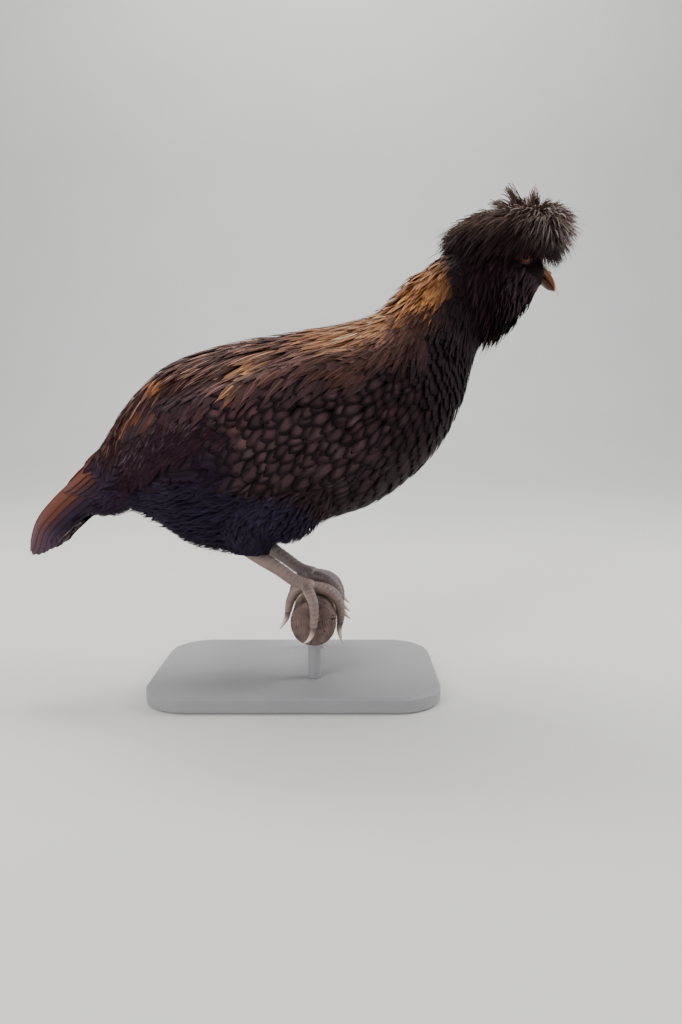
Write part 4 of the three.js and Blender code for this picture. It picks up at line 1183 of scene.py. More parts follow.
def crest_colours(points, azimuth, s, seed):
    """Nearly black inside and low down, streaked with olive brown where painted light falls on the strands
    over the top and the back, and pale at the tips in front, where a painted rim light lies."""
    rng = np.random.default_rng(seed)
    count = len(azimuth)
    # Painted light: strands turn from nearly black to olive brown towards the top of the crest and towards
    # their tips.
    top = smooth(350, 374, points[..., 2])
    strand = rng.uniform(0, 1, count)[:, None, None]
    lit = smooth(0.15, 0.7, s) * (0.16 + 0.84 * top) * (0.3 + 0.7 * strand**2)
    dark = np.broadcast_to(colour("head") * [1.35, 1.45, 1.6], (*lit.shape, 3))
    base = mix(dark, colour("crest") * 1.12, lit)
    # Painted rim light: pale tips along the crest's front and its top front edge.
    ahead = np.cos(azimuth)[:, None, None]
    front = smooth(0.45, 0.92, ahead) * smooth(342, 362, points[..., 2])
    front = front + 0.5 * smooth(366, 380, points[..., 2]) * smooth(-0.3, 0.6, ahead)
    pale = smooth(0.42, 0.95, rng.uniform(0, 1, count))[:, None, None] * front * smooth(0.45, 0.9, s)
    return mix(base, colour("crest_rim_light"), np.clip(pale * 1.15, 0, 1))


class HEN_OT_crest(bpy.types.Operator):
    """Crest, feather by feather, dark with olive streaks in painted light and pale frayed tips in front
    under a painted rim light
    """

    bl_idname = "hen.crest"
    bl_label = "Crest"

    def execute(self, context):
        half = context.scene.hen_sizes.crest_feather * 1000
        for name, count, rows, columns, wide, stray, seed in (
            ("crest_feathers", 3000, 10, 3, half, 0.07, 41),
            ("crest_wisps", 4200, 9, 2, half * 0.28, 0.12, 42),
            ("crest_tufts", 260, 10, 3, half * 0.85, 0.05, 43),
        ):
            tufts = name == "crest_tufts"
            points, azimuth, level, s = crest_batch(count, rows, columns, wide, stray, seed, tufts)
            base = crest_colours(points, azimuth, s, seed + 5)
            inside = 1 - level
            place_on = (0.86 + 0.06 * np.cos(azimuth) * inside, 0.25 + 0.1 * np.sin(azimuth) * inside)
            plumage(name, points, base, base * 0.5, place_on, "Crest feathers", "crest", flip=True,
                    replaces=("crest",))
        return {"FINISHED"}


class HEN_OT_beard(bpy.types.Operator):
    """Beard and muffs: soft locks that hang down and back from chin and cheeks, brown at their lower
    edge"""

    bl_idname = "hen.beard"
    bl_label = "Beard"

    def execute(self, context):
        p, q, per_p, per_q, _ = lattice(body, (11.3 / LAST, 15.4 / LAST), 96, 0.85, 51, 0.3)
        chin = np.abs((q - 0.5 * np.pi) % TURN - np.pi)
        reach = np.radians(np.interp(p * LAST, [11.3, 13, 14, 15.3], [112, 104, 80, 50]))
        mask = chin < reach
        p, q, per_p, per_q, chin, reach = (x[mask] for x in (p, q, per_p, per_q, chin, reach))
        rng = np.random.default_rng(52)
        n = len(p)
        flare = np.interp(p * LAST, [11.3, 12.2, 13.2, 14.5, 15.3], [8, 17, 19, 11, 5])
        flare = flare * (1 - 0.62 * (chin / reach) ** 1.4) * rng.uniform(0.1, 1.2, n)
        long = np.interp(p * LAST, [11.3, 13, 15.3], [18, 18, 9]) * rng.uniform(0.7, 1.3, n)
        turn = np.sign(np.cos(q)) * np.abs(np.cos(q)) ** 0.6 * 0.45 + rng.normal(0, 0.16, n)
        wide = np.interp(p * LAST, [11.3, 15.3], [3.2, 2.0]) * rng.uniform(0.7, 1.2, n)
        heights = (np.full(n, -0.3), coat_depth(p) + flare)
        points = drape(body, p, q, per_p, -per_q, -1, turn, long, wide, heights, "fluff", 8, 3, 0.8, 53)
        ground, edge = markings(body(p, q, 0.0))
        ground = varied(mix(ground, colour("head") * [1.65, 1.65, 1.75], np.full(n, 0.85)), 54)
        s, _ = feather_grid(8, 3)
        low = smooth(0.45, 0.1, chin / reach) * smooth(15, 12, p * LAST) * rng.uniform(0, 1, n)
        low = low[:, None, None] * smooth(0.55, 1.0, s) * np.ones(points.shape[:3])
        ground = mix(ground[:, None, None] * np.ones(points.shape), colour("beard_tip"), low)
        plumage("beard_locks", points, ground, varied(edge, 55), (p, (q / TURN) % 1), "Beard", "crest",
                replaces=("beard",))
        return {"FINISHED"}


def wing_side(x, z):
    """How far out the folded wing's feathers lie: on the body, and no closer in than a floor near the
    tail."""
    lowest = np.where(x < -105, 34 - 0.6 * np.maximum(0, z - 200), 0)
    return np.maximum(trunk_side(x, z), lowest)


def wing_batch(side, roots, tips, half, sag, base, lean, rise, rows, columns, kind, seed):
    """Wing feathers laid out in the side view and wrapped round the body: point (s, v) lies s of the way
    from root to tip, sagging by a parabola, v half widths across, and further out at its lower edge, over
    its neighbour, and towards its tip, by rise."""
    rng = np.random.default_rng(seed)
    roots, tips = (np.asarray(x, float)[:, None, None] for x in (roots, tips))
    half, base, rise = (np.asarray(x, float).reshape(-1, 1, 1) for x in (half, base, rise))
    s, v = feather_grid(rows, columns)
    along = tips - roots
    cross = np.stack([along[..., 1], -along[..., 0]], -1) / np.linalg.norm(along, axis=-1, keepdims=True)
    fray = rng.normal(0, 0.008, (len(roots), rows, columns)) * s**2
    t = s * (1 - 0.05 * v**2 * s**4) + fray
    w = half * outline(kind, s) * v
    x = roots[..., 0] + along[..., 0] * t + cross[..., 0] * w
    z = roots[..., 1] + along[..., 1] * t + cross[..., 1] * w - sag * 4 * s * (1 - s)
    y = wing_side(x, z) + base + rise * s + lean * (half - w) + 0.3 * (1 - v**2)
    return np.stack([x, side * y, z], -1)


def two_faced(points):
    """A batch of feathers and their under faces, which lie a little further in and face the other way."""
    under = points.copy()
    under[..., 1] -= np.sign(points[..., 1]) * VANE_THICKNESS
    return np.concatenate([points, under[:, :, ::-1]])


class HEN_OT_wings(bpy.types.Operator):
    """Flight feathers of the folded wings, and the saddle hackles that hang over them"""

    bl_idname = "hen.wings"
    bl_label = "Wings"

    def execute(self, context):
        k = np.linspace(0, 1, 11)
        primary = k < 0.25
        r = np.clip((k - 0.3) / 0.7, 0, 1)
        wave = np.random.default_rng(60).normal(0, 1, (2, 11))
        roots = np.stack([22 - 10 * k, 193 + 67 * k], -1)
        primary_tips = np.stack([-165 + 40 * k, 166 + 50 * k], -1)
        secondary_tips = np.stack([-153 + 42 * r**1.2 + 2 * wave[0], 181 + 45 * r + wave[1]], -1)
        tips = np.where(primary[:, None], primary_tips, secondary_tips)
        half = np.where(primary, 6.6, 8.8)
        s, v = feather_grid(24, 9)
        outer = 0.4 * smooth(0.7, 1, -v) * smooth(0.4, 0.9, s)
        for word, side in SIDES:
            flights = wing_batch(side, roots, tips, half, 2.5, 2.2, 0.2, 0.0, 24, 9, "quill", 61)
            shade = varied(mix(np.tile(colour("wing"), (11, 1)), colour("flank"), 0.5 * k), 63, 0.12)
            shade = mix(shade[:, None, None] * np.ones(flights.shape), colour("tail_tip") * 0.4,
                        outer * np.ones(flights.shape[:3]))
            shade = np.concatenate([shade, shade])
            place_on = [np.tile(x, 2) for x in unwrap(flights[:, 0, 4])]
            plumage(f"flight_feathers_{word}", two_faced(flights), shade, shade * 0.45, place_on,
                    "Flight feathers", "feather", flip=side > 0, replaces=(f"wing_{word}",))
            saddle_hackles(word, side)
        return {"FINISHED"}


def saddle_hackles(word, side):
    """Long feathers that hang from the back over the folded wing's flights, dark with a painted sheen along
    the shaft, and leave the orange streak bare."""
    rng = np.random.default_rng(66)
    n = 460
    drop = rng.uniform(0, 1, n)
    x = rng.uniform(-141, -46, n)
    high = np.interp(x, [-141, -110, -46], [214, 236, 260])
    roots = np.stack([x, high - 38 * drop], -1)
    angle = np.radians(np.interp(x, [-130, -46], [66, 44])) + rng.normal(0, 0.07, n)
    long = np.interp(x, [-141, -110], [18, 29]) * rng.uniform(0.8, 1.2, n)
    base = np.interp(drop, [0, 0.3, 1], [0.5, 3.6, 4.8])
    half = rng.uniform(2.2, 3.1, n)
    ground, edge = markings(np.stack([x, np.full(n, 40), np.maximum(roots[:, 1], 205)], -1))
    ground = mix(ground, colour("back") * [0.85, 0.85, 1.45], 0.5 + 0.5 * smooth(0, 0.3, drop))
    # Painted sheen: each hackle's streak along the shaft turns from the back's edge colour to the sheen
    # lower down, and fades on the lowest hackles.
    pale = mix(edge, colour("sheen"), smooth(0.0, 0.22, drop))
    edge = mix(ground, pale, rng.uniform(0, 1, n) ** 2.2 * (1 - 0.92 * smooth(0.35, 0.7, drop)))
    tips = roots - long[:, None] * np.stack([np.cos(angle), np.sin(angle)], -1)
    hackles = wing_batch(side, roots, tips, half, 1.5, base, 0.1, 8.2 - base, 9, 5, "lance", 67)
    apart = orange_streak(*(0.35 * roots + 0.65 * tips).T, 7) < 0.5
    hackles, ground, edge = hackles[apart], ground[apart], edge[apart]
    plumage(f"saddle_hackles_{word}", hackles, varied(ground, 68, 0.18), varied(edge, 69, 0.18),
            unwrap(hackles[:, 0, 2]), "Saddle hackles", "hackle", flip=side > 0)


# The tail's upper edge in the side view, and half its width at depths below that edge
RIDGE = [[-166, 197], [-179, 186], [-194.6, 171.5], [-213.5, 154], [-228.4, 135.8], [-236.6, 112]]
TAIL_SHELL = ([-6, -2.5, 0, 3, 6, 10, 16, 22, 30], [0.1, 0.6, 3.5, 8, 11, 13.4, 15, 15.2, 14])


def tail_batch(side, spans, deep, lift, rows, columns, kind, seed):
    """Feathers folded like tiles over a shell that hangs from a ridge: point (s, v) sits at s along the
    ridge between the feather's ends, and at a depth below it that v takes from its inner to its outer edge.
    The shell's half width at that depth, narrower towards both ends, gives y, with the inner edge sunk and
    the outer one lifted."""
    rng = np.random.default_rng(seed)
    s, v = feather_grid(rows, columns)
    spans, deep = (np.asarray(x, float)[:, None, None] for x in (spans, deep))
    fray = rng.normal(0, 0.004, (len(spans), rows, columns)) * s**2
    t = spans[..., 0] + (spans[..., 1] - spans[..., 0]) * (s * (1 - 0.02 * v**2 * s**4) + fray)
    t = np.clip(t, 0, 1.0)
    along = heading(RIDGE, t)
    down = np.stack([-along[..., 1], along[..., 0]], -1)
    down = down * np.where(down[..., 1:] > 0, -1, 1)
    w = 0.5 + 0.5 * v * outline(kind, s)
    depth = deep[..., 0] + (deep[..., 1] - deep[..., 0]) * w
    shell = np.interp(depth, *TAIL_SHELL) * (0.8 + 0.42 * np.sin(np.pi * np.minimum(1, t * 0.9)))
    lift = np.asarray(lift, float).reshape(-1, 1, 1)
    y = shell + lift * w - 1.2 * (1 - w) + 0.3 * (1 - v**2)
    at = spline(RIDGE, t) + down * (depth * (1.12 - 0.3 * t))[..., None]
    return np.stack([at[..., 0], side * np.maximum(y, 0.05), at[..., 1]], -1)


# Layers of the tail from the inside out: how many feathers, where along the ridge the first and the last
# one start, where each ends, how deep the upper edge of the first lies and how much deeper the last one's,
# the same for their lower edges, how far they stand out, and their outline
TAIL_LAYERS = (
    (5, (0.02, 0.10), (0.99, 1, 0.99, 0.965, 0.92), (-2.5, 20.8), (9, 21), 0.8, "tail"),
    (6, (0.02, 0.02), (0.52, 0.492, 0.464, 0.436, 0.408, 0.38), (-4, 20), (5.5, 22), 2.2, "quill"),
    (6, (0.0, 0.0), (0.32, 0.308, 0.296, 0.284, 0.272, 0.26), (-5.5, 20), (3, 23), 3.4, "quill"),
)


class HEN_OT_tail(bpy.types.Operator):
    """Closed, hanging tail with its coverts and the down along its lower edge"""

    bl_idname = "hen.tail"
    bl_label = "Tail"

    def execute(self, context):
        core = closed_tube(lambda t, a: trunk(0.002 + 0.125 * t, a, -5.5 * (1 - t) * (t + 0.6)), 20, 40)
        build("tail_core", *core, shared("Skin", skin_material), "tail", tones=markings(core[0]),
              replaces=("tail",))
        for word, side in SIDES:
            layers, high = [], []
            for i, (count, start, ends, upper, lower, lift, kind) in enumerate(TAIL_LAYERS):
                k = np.linspace(0, 1, count)
                spans = np.stack([start[0] + (start[1] - start[0]) * k, ends], -1)
                deep = np.stack([upper[0] + upper[1] * k, lower[0] + lower[1] * k], -1)
                layers.append(tail_batch(side, spans, deep, lift, 32, 9, kind, 71 + i))
                high.append(1 - k)
            feathers, high = np.concatenate(layers), np.concatenate(high)
            n = len(feathers)
            s, _ = feather_grid(32, 9)
            base = mix(np.tile(colour("tail"), (n, 1)), colour("chestnut"), smooth(0.3, 1.0, high))
            base = varied(base, 74, 0.12)[:, None, None] * np.ones(feathers.shape)
            long = (np.arange(n) < TAIL_LAYERS[0][0])[:, None, None]
            worn = smooth(0.62, 1.0, s) * np.where(long, 0.7, 0.2) * np.ones(feathers.shape[:3])
            base = mix(base, colour("tail_tip"), worn)
            base = np.concatenate([base, base])
            round_it = np.linspace(0.05, 0.45, n) + (0.5 if side < 0 else 0)
            place_on = (np.tile(np.linspace(0.02, 0.12, n), 2), np.tile(round_it, 2))
            plumage(f"tail_feathers_{word}", two_faced(feathers), base, base * 0.62, place_on,
                    "Tail feathers", "tail", flip=side < 0, replaces=("tail",))
            tail_down(word, side)
        return {"FINISHED"}


def tail_down(word, side):
    """Pale down along the tail's lower edge."""
    rng = np.random.default_rng(75)
    n = 420
    start = rng.uniform(0.02, 0.84, n)
    deep = np.interp(start, [0, 0.5, 0.85], [24, 27, 25]) + rng.normal(0, 1.2, n)
    spans = np.stack([start, start + rng.uniform(0.05, 0.11, n)], -1)
    deep = np.stack([deep, deep + 0.9], -1)
    down = tail_batch(side, spans, deep, rng.uniform(-12, 2, n), 7, 2, "fluff", 76)
    pale = varied(mix(np.tile(colour("tail"), (n, 1)), colour("tail_down"), smooth(0.5, 0.75, start)), 77)
    place_on = (0.02 + 0.1 * start, rng.uniform(0.3, 0.45, n) * side % 1)
    plumage(f"tail_down_{word}", down, pale, pale * 0.8, place_on, "Fluff", "tail", flip=side < 0)


class HEN_OT_thigh_fluff(bpy.types.Operator):
    """Soft feathers of the thighs down to the hocks"""

    bl_idname = "hen.thigh_fluff"
    bl_label = "Thigh fluff"

    def execute(self, context):
        for word, side in SIDES:
            surface = thigh(side)
            p, q, per_p, per_q, _ = lattice(surface, (0.04, 0.97), 56, 0.95, 81, 0.3)
            root = surface(p, q, 0.0)
            outside = np.abs(root[:, 1]) > trunk_side(root[:, 0], root[:, 2]) - 9
            p, q, per_p, per_q, root = (x[outside] for x in (p, q, per_p, per_q, root))
            n = len(p)
            rng = np.random.default_rng(82)
            tips = 5.6 + rng.gamma(1.2, 0.6, n)
            points = drape(surface, p, q, per_p, per_q, 1, rng.normal(0, 0.14, n), rng.uniform(9, 14, n),
                           rng.uniform(2.6, 3.8, n), (np.full(n, -0.4), tips), "fluff", 7, 3, 0.6, 83)
            ground, edge = markings(root)
            place_on = (0.05 * p, 0.25 - 0.25 * side + 0.5 * (q / TURN))
            plumage(f"thigh_fluff_{word}", points, varied(ground, 84), varied(edge, 85), place_on, "Fluff",
                    "feather")
        return {"FINISHED"}


def section_tube(sections, tip, rows, columns, ridge=0.0):
    """A small horn lofted through sections in the plane of symmetry and drawn out to a tip. A ridge
    sharpens the top of each ring."""
    knots = np.vstack([np.array(sections, float), [tip[0], tip[1], tip[0], tip[1], 0.15]])

    def surface(t, a):
        row = spline(knots, t)
        middle = (row[..., 0:2] + row[..., 2:4]) / 2
        rise = (row[..., 0:2] - row[..., 2:4]) / 2
        narrow = 1 - ridge * np.maximum(0, np.sin(a)) ** 1.5
        at = middle + rise * np.sin(a)[..., None]
        return np.stack([at[..., 0], row[..., 4] * np.cos(a) * narrow, at[..., 1]], -1)

    return closed_tube(surface, rows, columns)


def culmen_highlight(points, line):
    """How much painted highlight the upper bill gets: 1 on the ridge along its top and at its tip, and less
    down its sides.
    """
    curve = spline(line, np.linspace(0, 1, 80))
    away = np.linalg.norm(points[:, None, [0, 2]] - curve[None], axis=-1).min(axis=1)
    ridge = smooth(4.4, 3.0, away + 0.1 * np.abs(points[:, 1]))
    return np.clip(ridge + smooth(322, 318, points[:, 2]), 0, 1)


# Sections of the bill's halves from the root: top x and z, bottom x and z and half the width
UPPER_BILL = [
    (178.5, 341.8, 178.5, 331.5, 6.9), (182.7, 340.7, 181.9, 331.2, 7.2), (187.3, 337.2, 184.6, 328.6, 6.2),
    (191.7, 331.4, 187.8, 325.4, 4.8), (194.7, 324.2, 191.2, 321.4, 2.8),
]
UPPER_TIP = (195.3, 317.2)
LOWER_BILL = [
    (177.5, 331.8, 178.0, 326.6, 5.2), (181.7, 331.2, 181.4, 325.9, 5.4), (184.6, 329.2, 183.3, 324.2, 4.7),
    (188.2, 326.2, 186.6, 321.9, 3.5),
]
LOWER_TIP = (191.6, 320.9)
NOSTRIL = (186.2, 334.6)


class HEN_OT_bill(bpy.types.Operator):
    """Bill in two halves, with nostrils under a horny flap"""

    bl_idname = "hen.bill"
    bl_label = "Bill"

    def execute(self, context):
        horn = shared("Bill horn", horn_material, streaks=(60, 60, 30))
        points, faces = section_tube(UPPER_BILL, UPPER_TIP, 90, 72, ridge=0.3)
        from_x, from_z = points[:, 0] - NOSTRIL[0], points[:, 2] - NOSTRIL[1]
        along, across = 0.72 * from_x - 0.69 * from_z, 0.69 * from_x + 0.72 * from_z
        outside = np.abs(points[:, 1]) > 2
        flap = np.exp(-((along / 2.6) ** 2) - ((across - 1.3) / 0.9) ** 2) * outside
        slot = np.exp(-((along / 1.7) ** 4) - (across / 0.55) ** 2) * outside
        points[:, 1] += np.sign(points[:, 1]) * (0.8 * flap - 1.2 * slot)
        # Painted highlight: pale horn along the ridge and at the tip of the upper bill, dark horn down its
        # sides.
        light = culmen_highlight(points, [section[:2] for section in UPPER_BILL[1:]] + [UPPER_TIP])
        ground = mix(np.tile(colour("horn_dark") * 0.8, (len(points), 1)), colour("horn"), light)
        # Painted shade: the nostril slot is darkened nearly to black.
        ground = mix(ground, colour("horn_dark") * 0.12, np.clip(1.3 * slot, 0, 1))
        build("upper_bill", points, faces, horn, "bill", tones=(ground, ground * 0.75),
              replaces=("bill_upper",))
        points, faces = section_tube(LOWER_BILL, LOWER_TIP, 34, 40)
        ground = np.tile(colour("horn_dark") * 0.3, (len(points), 1))
        build("lower_bill", points, faces, horn, "bill", tones=(ground, ground * 0.55),
              replaces=("bill_lower",))
        comb = []
        for side in (1, -1):
            line = [[178, side * 2, 343], [179.6, side * 3.4, 347.5], [179.4, side * 4.8, 351.5]]
            comb.append(closed_tube(lambda t, a: limb(line, [2.4, 1.9, 0.5], t, a), 14, 20, tip=True))
        points, faces = together(comb)
        red = np.tile([0.085, 0.02, 0.018], (len(points), 1))
        build("comb", points, faces, shared("Skin", skin_material), "feather", tones=(red, red * 0.6))
        return {"FINISHED"}


class HEN_OT_eyes(bpy.types.Operator):
    """Eyes with a black pupil and an orange-brown iris"""

    bl_idname = "hen.eyes"
    bl_label = "Eyes"

    def execute(self, context):
        for word, side in SIDES:
            def ball(t, a):
                polar = (0.004 + 0.992 * t) * np.pi
                radius = EYE["radius"] + 0.35 * np.exp(-((polar / 0.5) ** 2))
                return np.stack([EYE["x"] + radius * np.sin(polar) * np.cos(a),
                                 side * (eye_y() + radius * np.cos(polar)),
                                 EYE["z"] + radius * np.sin(polar) * np.sin(a)], -1)

            points, faces = closed_tube(ball, 48, 48)
            t, a = tube_grid(48, 48)
            polar = (0.004 + 0.992 * t) * np.pi
            ring = EYE["radius"] * np.sin(polar).ravel()
            outward = (np.cos(polar) > 0).ravel()
            ground = np.tile(colour("horn_dark") * 0.3, (len(points), 1))
            iris = colour("iris") * (0.75 + 0.5 * np.sin(17 * a.ravel()) ** 2)[:, None]
            ground = np.where((outward & (ring < EYE["iris"]))[:, None], iris, ground)
            ground = np.where((outward & (ring < EYE["pupil"]))[:, None], 0.0015, ground)
            build(f"eyeball_{word}", points, faces, shared("Eye", eye_material), "eye", tones=(ground,),
                  flip=side < 0, replaces=(f"eye_{word}",))
        return {"FINISHED"}


def pole_point(degrees, distance, y):
    """A point at an angle round the pole from +X, a distance from its axis."""
    angle = np.radians(degrees)
    return [distance * np.cos(angle), y, POLE["height"] + distance * np.sin(angle)]


# How far the middle line of a toe on the pole lies from the pole's axis, where it is thick and at its end
SUNK = POLE["radius"] + 4.6
LOW = POLE["radius"] + 3.4
# Middle lines of the left foot's toes and of their claws: degrees round the pole, distance from its axis, Y
DIGITS = {
    "middle": ([(102, 24.3, 27), (78, SUNK, 27.5), (54, SUNK, 28), (30, SUNK, 28.4), (6, LOW, 28.6),
                (-14, LOW, 28.8)],
               [(-12.5, LOW, 28.8), (-28, 22.6, 28.9), (-38, 26.5, 29), (-45, 32, 29)]),
    "inner": ([(102, 24.3, 26), (80, SUNK, 22), (58, SUNK, 18.5), (36, SUNK, 15.5), (15, LOW, 13.5)],
              [(16.5, LOW, 13.6), (2, 22.4, 12.6), (-7, 25.6, 12), (-13, 30, 11.6)]),
    "outer": ([(102, 24.3, 28), (80, SUNK, 32.5), (58, SUNK, 36.5), (36, SUNK, 39.8), (14, LOW, 42.2)],
              [(15.5, LOW, 42.1), (1, 22.4, 43.3), (-8, 25.6, 44), (-14, 30, 44.4)]),
    "hind": ([(100, 25.5, 27), (124, 25, 26), (148, SUNK, 25), (172, LOW, 24.4)],
             [(170.5, LOW, 24.4), (186, 22.6, 24.2), (196, 26, 24.1), (203, 30.5, 24)]),
}
# The same for the right foot's outer toe, as points
OVER_THE_END = (
    [[-5, -29, 87], [-4.5, -41, 86.6], [-2.5, -51, 86], [0, -56.6, 81.5], [1, -57.3, 72],
     [0.2, -57.2, 61.5]],
    [[0.15, -57.2, 62.4], [-1.2, -57.2, 55.4], [-3.8, -57, 51.4], [-7.6, -56.8, 48.6]],
)


CLAW_RADII = [2.5, 2.15, 1.45, 0.25]


def digit_lines(side, name):
    """The middle lines of a toe and of its claw. The right foot's outer toe hangs over the pole's near
    end."""
    if side < 0 and name == "outer":
        return OVER_THE_END
    toe, claw = DIGITS[name]
    return tuple([[x, side * y, z] for x, y, z in (pole_point(*p) for p in line)] for line in (toe, claw))


def digit_level(side, name):
    """The direction across a toe and its claw: along the pole, or across it for the toe over the end."""
    return (1, 0, 0) if side < 0 and name == "outer" else (0, 1, 0)


def scaled_limb(line, radii, count, columns, flat=1.0, level=(0, 1, 0)):
    """A limb with overlapping plates across its upper face: each plate rises along the limb and drops at
    its end, and small round scales cover its lower face. Gives the tube and how far into a crease each
    point lies."""

    def relief(t, a):
        upper = smooth(-0.25, 0.35, np.sin(a))
        plate = (t * count + 0.12 * np.cos(2 * a)) % 1
        ridge = smooth(0, 0.7, plate) * smooth(1, 0.86, plate)
        beads = np.sin(t * count * TURN) * np.sin(a * 9)
        return 0.42 * upper * (ridge - 0.55) + 0.16 * (1 - upper) * beads, upper * (1 - ridge)

    def surface(t, a):
        return limb(line, radii, t, a, grow=relief(t, a)[0], flat=flat, level=level)

    rows = 6 * count
    points, faces = closed_tube(surface, rows, columns)
    return points, faces, relief(*tube_grid(rows, columns))[1].ravel()


class HEN_OT_feet(bpy.types.Operator):
    """Scaled shanks and toes that grip the pole"""

    bl_idname = "hen.feet"
    bl_label = "Feet"

    def execute(self, context):
        for word, side in SIDES:
            shank = [[x, side * y, z] for x, y, z in SHANK_LINE]
            tubes = [scaled_limb(shank, [7.4, 6.2, 5.2, 5.1, 5.9], 17, 44, flat=0.86)]
            for name in DIGITS:
                line = digit_lines(side, name)[0]
                long = len(line) == 6
                radii = [4.1, 4.3, 4.2, 3.9, 3.4, 2.7] if long else [4.2, 4.25, 4.0, 3.4, 2.7]
                scales = 14 if long else 11
                tubes.append(scaled_limb(line, radii, scales, 32, level=digit_level(side, name)))

            def pad(t, a):
                polar = (0.02 + 0.96 * t) * np.pi
                knobs = 1 + 0.03 * np.sin(9 * a) * np.sin(8 * polar)
                return np.stack([-5 + 6.8 * knobs * np.sin(polar) * np.cos(a),
                                 side * 27 + 7.2 * knobs * np.sin(polar) * np.sin(a),
                                 87 + 6.0 * knobs * np.cos(polar)], -1)

            ball, ball_faces = closed_tube(pad, 30, 40)
            tubes.append((ball, [f[:, ::-1] for f in ball_faces], np.zeros(len(ball))))
            points, faces = together([(p, f) for p, f, _ in tubes])
            crease = np.concatenate([c for _, _, c in tubes])
            # Painted reflection of sky light: the left leg, the far one, is tinted bluish.
            scale = colour("leg") * ([0.84, 0.95, 1.06] if side > 0 else [1, 1, 1])
            # Darker into the creases between the scales: partly the skin's own darker tone, partly painted
            # shade.
            ground = mix(np.tile(scale, (len(points), 1)), colour("leg_dark"), 0.3 * crease)
            build(f"leg_{word}", points, faces, shared("Leg scales", scale_material), "scale",
                  tones=(ground, ground * [0.55, 0.55, 0.62]), replaces=(f"foot_{word}",))
        return {"FINISHED"}


class HEN_OT_claws(bpy.types.Operator):
    """Eight curved claws"""

    bl_idname = "hen.claws"
    bl_label = "Claws"

    def execute(self, context):
        horn = shared("Claw horn", horn_material, streaks=(80, 80, 20))
        t = np.append(tube_grid(24, 20)[0], 1.0)
        light = smooth(0, 0.6, t)
        for word, side in SIDES:
            for name in DIGITS:
                line, level = digit_lines(side, name)[1], digit_level(side, name)
                points, faces = closed_tube(
                    lambda t, a: limb(line, CLAW_RADII, t, a, flat=0.84, level=level), 24, 20, tip=True
                )
                ground = np.tile(colour("leg_dark") * 1.4, (len(points), 1))
                ground = mix(ground, colour("horn") * 0.85, light)
                build(f"nail_{word}_{name}", points, faces, horn, "claw", tones=(ground, ground * 0.6),
                      replaces=(f"claw_{word}_{name}",))
        return {"FINISHED"}


class HEN_OT_perch(bpy.types.Operator):
    """Short cut length of the roost pole"""

    bl_idname = "hen.perch"
    bl_label = "Perch"

    def execute(self, context):
        near, far, radius = POLE["near"], POLE["far"], POLE["radius"]
        rounding = [[0.3, 0], [radius * 0.5, 0], [radius - 1.4, 0], [radius - 0.5, 0.35], [radius, 1.3]]
        length = far - near - 2.6
        profile = np.array(
            [[r, near + y] for r, y in rounding]
            + [[radius, near + 1.3 + i * length / 50] for i in range(1, 51)]
            + [[r, far - y] for r, y in rounding[-2::-1]]
        )

        def surface(t, a):
            at = t * (len(profile) - 1)
            r = np.interp(at, np.arange(len(profile)), profile[:, 0])
            y = np.interp(at, np.arange(len(profile)), profile[:, 1])
            knot = 0.5 * np.exp(-((y - 34) / 7) ** 2 - ((np.cos(a - 1.2) - 1) / 0.05) ** 2)
            wave = 0.18 * np.sin(5 * a + 0.06 * y) + 0.1 * np.sin(13 * a - 0.1 * y)
            wave = wave + 0.06 * np.sin(31 * a + 0.3 * y)
            r = r - (0.3 + wave - 0.3 * knot) * smooth(0.3, 1, r / radius)
            return np.stack([r * np.cos(a), y, POLE["height"] + r * np.sin(a)], -1)

        points, faces = closed_tube(surface, len(profile), 96)
        build("pole", points, faces, shared("Peeled pole", wood_material), "wood", flip=True,
              replaces=("perch",))
        return {"FINISHED"}


class HEN_OT_stand(bpy.types.Operator):
    """Paint of the display stand's own solids"""

    bl_idname = "hen.stand"
    bl_label = "Stand"

    def execute(self, context):
        for name in ("stand_base", "stand_rod_1", "stand_rod_2"):
            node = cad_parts[name]
            node.data.materials.clear()
            node.data.materials.append(shared("Stand paint", stand_material))
        return {"FINISHED"}


def soft_light(name, at, target, size, power, tone):
    """An area light at a point that faces another."""
    data = bpy.data.lights.new(name, "AREA")
    data.shape = "RECTANGLE"
    data.size, data.size_y = size
    data.energy = power
    data.color = tone
    lamp = bpy.data.objects.new(name, data)
    lamp.location = at
    lamp.rotation_euler = (Vector(target) - Vector(at)).to_track_quat("-Z", "Y").to_euler()
    bpy.context.scene.collection.objects.link(lamp)


# The studio floor in metres: half its width, its front edge, where it starts to curve up, the radius of the
# curve, and its top. The camera: its place, the degrees it looks down, its focal length in picture heights.
FLOOR = {"half": 4.2, "front": -4.0, "flat_to": 2.2, "curve": 1.6, "top": 4.6}
CAMERA = {"at": (0.0214, -0.631, 0.2211), "down": 7, "focal": 770 / 1024}


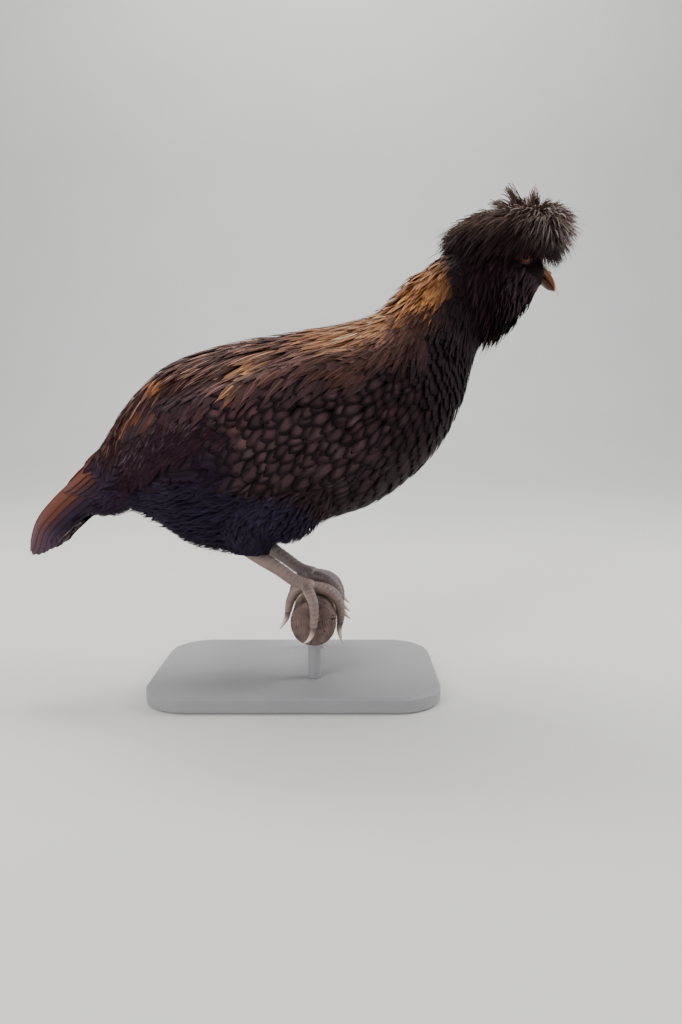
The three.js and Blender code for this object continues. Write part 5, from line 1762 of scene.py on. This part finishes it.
class HEN_OT_stage(bpy.types.Operator):
    """Pale floor that curves up behind, soft lights and the photograph's camera"""

    bl_idname = "hen.stage"
    bl_label = "Stage"

    def execute(self, context):
        half, front, flat_to, curve, top = FLOOR.values()
        turn = np.linspace(0.1, np.pi / 2, 16)
        x = np.linspace(-half, half, 9)
        flat = np.linspace(front, flat_to, 8)
        y = np.concatenate([flat, flat_to + curve * np.sin(turn), [flat_to + curve]])
        z = np.concatenate([np.zeros(8), curve - curve * np.cos(turn), [top]])
        points = np.stack(np.broadcast_arrays(x[None, :], y[:, None], z[:, None]), -1).reshape(-1, 3)
        mesh = bpy.data.meshes.new("floor")
        mesh.from_pydata(points.tolist(), [], grid_faces(len(y), len(x))[:, ::-1].tolist())
        mesh.polygons.foreach_set("use_smooth", np.ones(len(mesh.polygons), bool))
        mesh.materials.append(shared("Studio floor", floor_material))
        floor = bpy.data.objects.new("floor", mesh)
        context.scene.collection.objects.link(floor)
        hen, head, backdrop = (-0.01, 0, 0.24), (0.15, 0, 0.3), (0, 3.2, 0.6)
        soft_light("Light over the back", (-0.6, 0.45, 1.4), hen, (0.9, 0.7), 13, (1, 0.97, 0.93))
        soft_light("Light from the camera's left", (-1.1, -1.3, 0.9), hen, (0.9, 0.9), 18, (1, 0.98, 0.97))
        soft_light("Light from the front", (1.3, 0.1, 1.0), head, (0.6, 0.6), 15, (1, 0.98, 0.96))
        soft_light("Light on the backdrop", (0, 2.0, 3.6), backdrop, (3.0, 1.2), 90, (1, 1, 1))
        world = bpy.data.worlds.new("Studio")
        world.use_nodes = True
        world.node_tree.nodes["Background"].inputs[0].default_value = (0.92, 0.95, 1.0, 1)
        world.node_tree.nodes["Background"].inputs[1].default_value = 0.42
        context.scene.world = world
        data = bpy.data.cameras.new("Camera")
        data.sensor_fit = "VERTICAL"
        data.sensor_height = 36.0
        data.lens = CAMERA["focal"] * data.sensor_height
        data.clip_start = 0.01
        camera = bpy.data.objects.new("Camera", data)
        camera.location = CAMERA["at"]
        camera.rotation_euler = (np.radians(90 - CAMERA["down"]), 0, 0)
        context.scene.collection.objects.link(camera)
        context.scene.camera = camera
        return {"FINISHED"}


OPERATORS = (
    HEN_OT_stage, HEN_OT_stand, HEN_OT_perch, HEN_OT_skin, HEN_OT_body_feathers, HEN_OT_neck_feathers,
    HEN_OT_head_feathers, HEN_OT_crest, HEN_OT_beard, HEN_OT_wings, HEN_OT_tail, HEN_OT_thigh_fluff,
    HEN_OT_bill, HEN_OT_eyes, HEN_OT_feet, HEN_OT_claws,
)


class HEN_PT_panel(bpy.types.Panel):
    """The hen's pieces and colours"""

    bl_idname = "HEN_PT_panel"
    bl_label = "Hen"
    bl_space_type = "VIEW_3D"
    bl_region_type = "UI"
    bl_category = "Hen"

    def draw(self, context):
        for operator in OPERATORS:
            self.layout.operator(operator.bl_idname)
        for group in (context.scene.hen_sizes, context.scene.hen_colours):
            for key in group.bl_rna.properties.keys():
                if key not in ("rna_type", "name"):
                    self.layout.prop(group, key)


CLASSES = (HenSizes, HenColours, *OPERATORS, HEN_PT_panel)


def register():
    """Adds the classes and their settings to Blender."""
    for entry in CLASSES:
        bpy.utils.register_class(entry)
    bpy.types.Scene.hen_sizes = PointerProperty(type=HenSizes)
    bpy.types.Scene.hen_colours = PointerProperty(type=HenColours)


def unregister():
    """Takes them out again."""
    del bpy.types.Scene.hen_colours
    del bpy.types.Scene.hen_sizes
    for entry in reversed(CLASSES):
        bpy.utils.unregister_class(entry)


def main():
    """Builds every piece in order."""
    register()
    for operator in OPERATORS:
        group, name = operator.bl_idname.split(".")
        getattr(getattr(bpy.ops, group), name)()


if __name__ == "__main__":
    main()
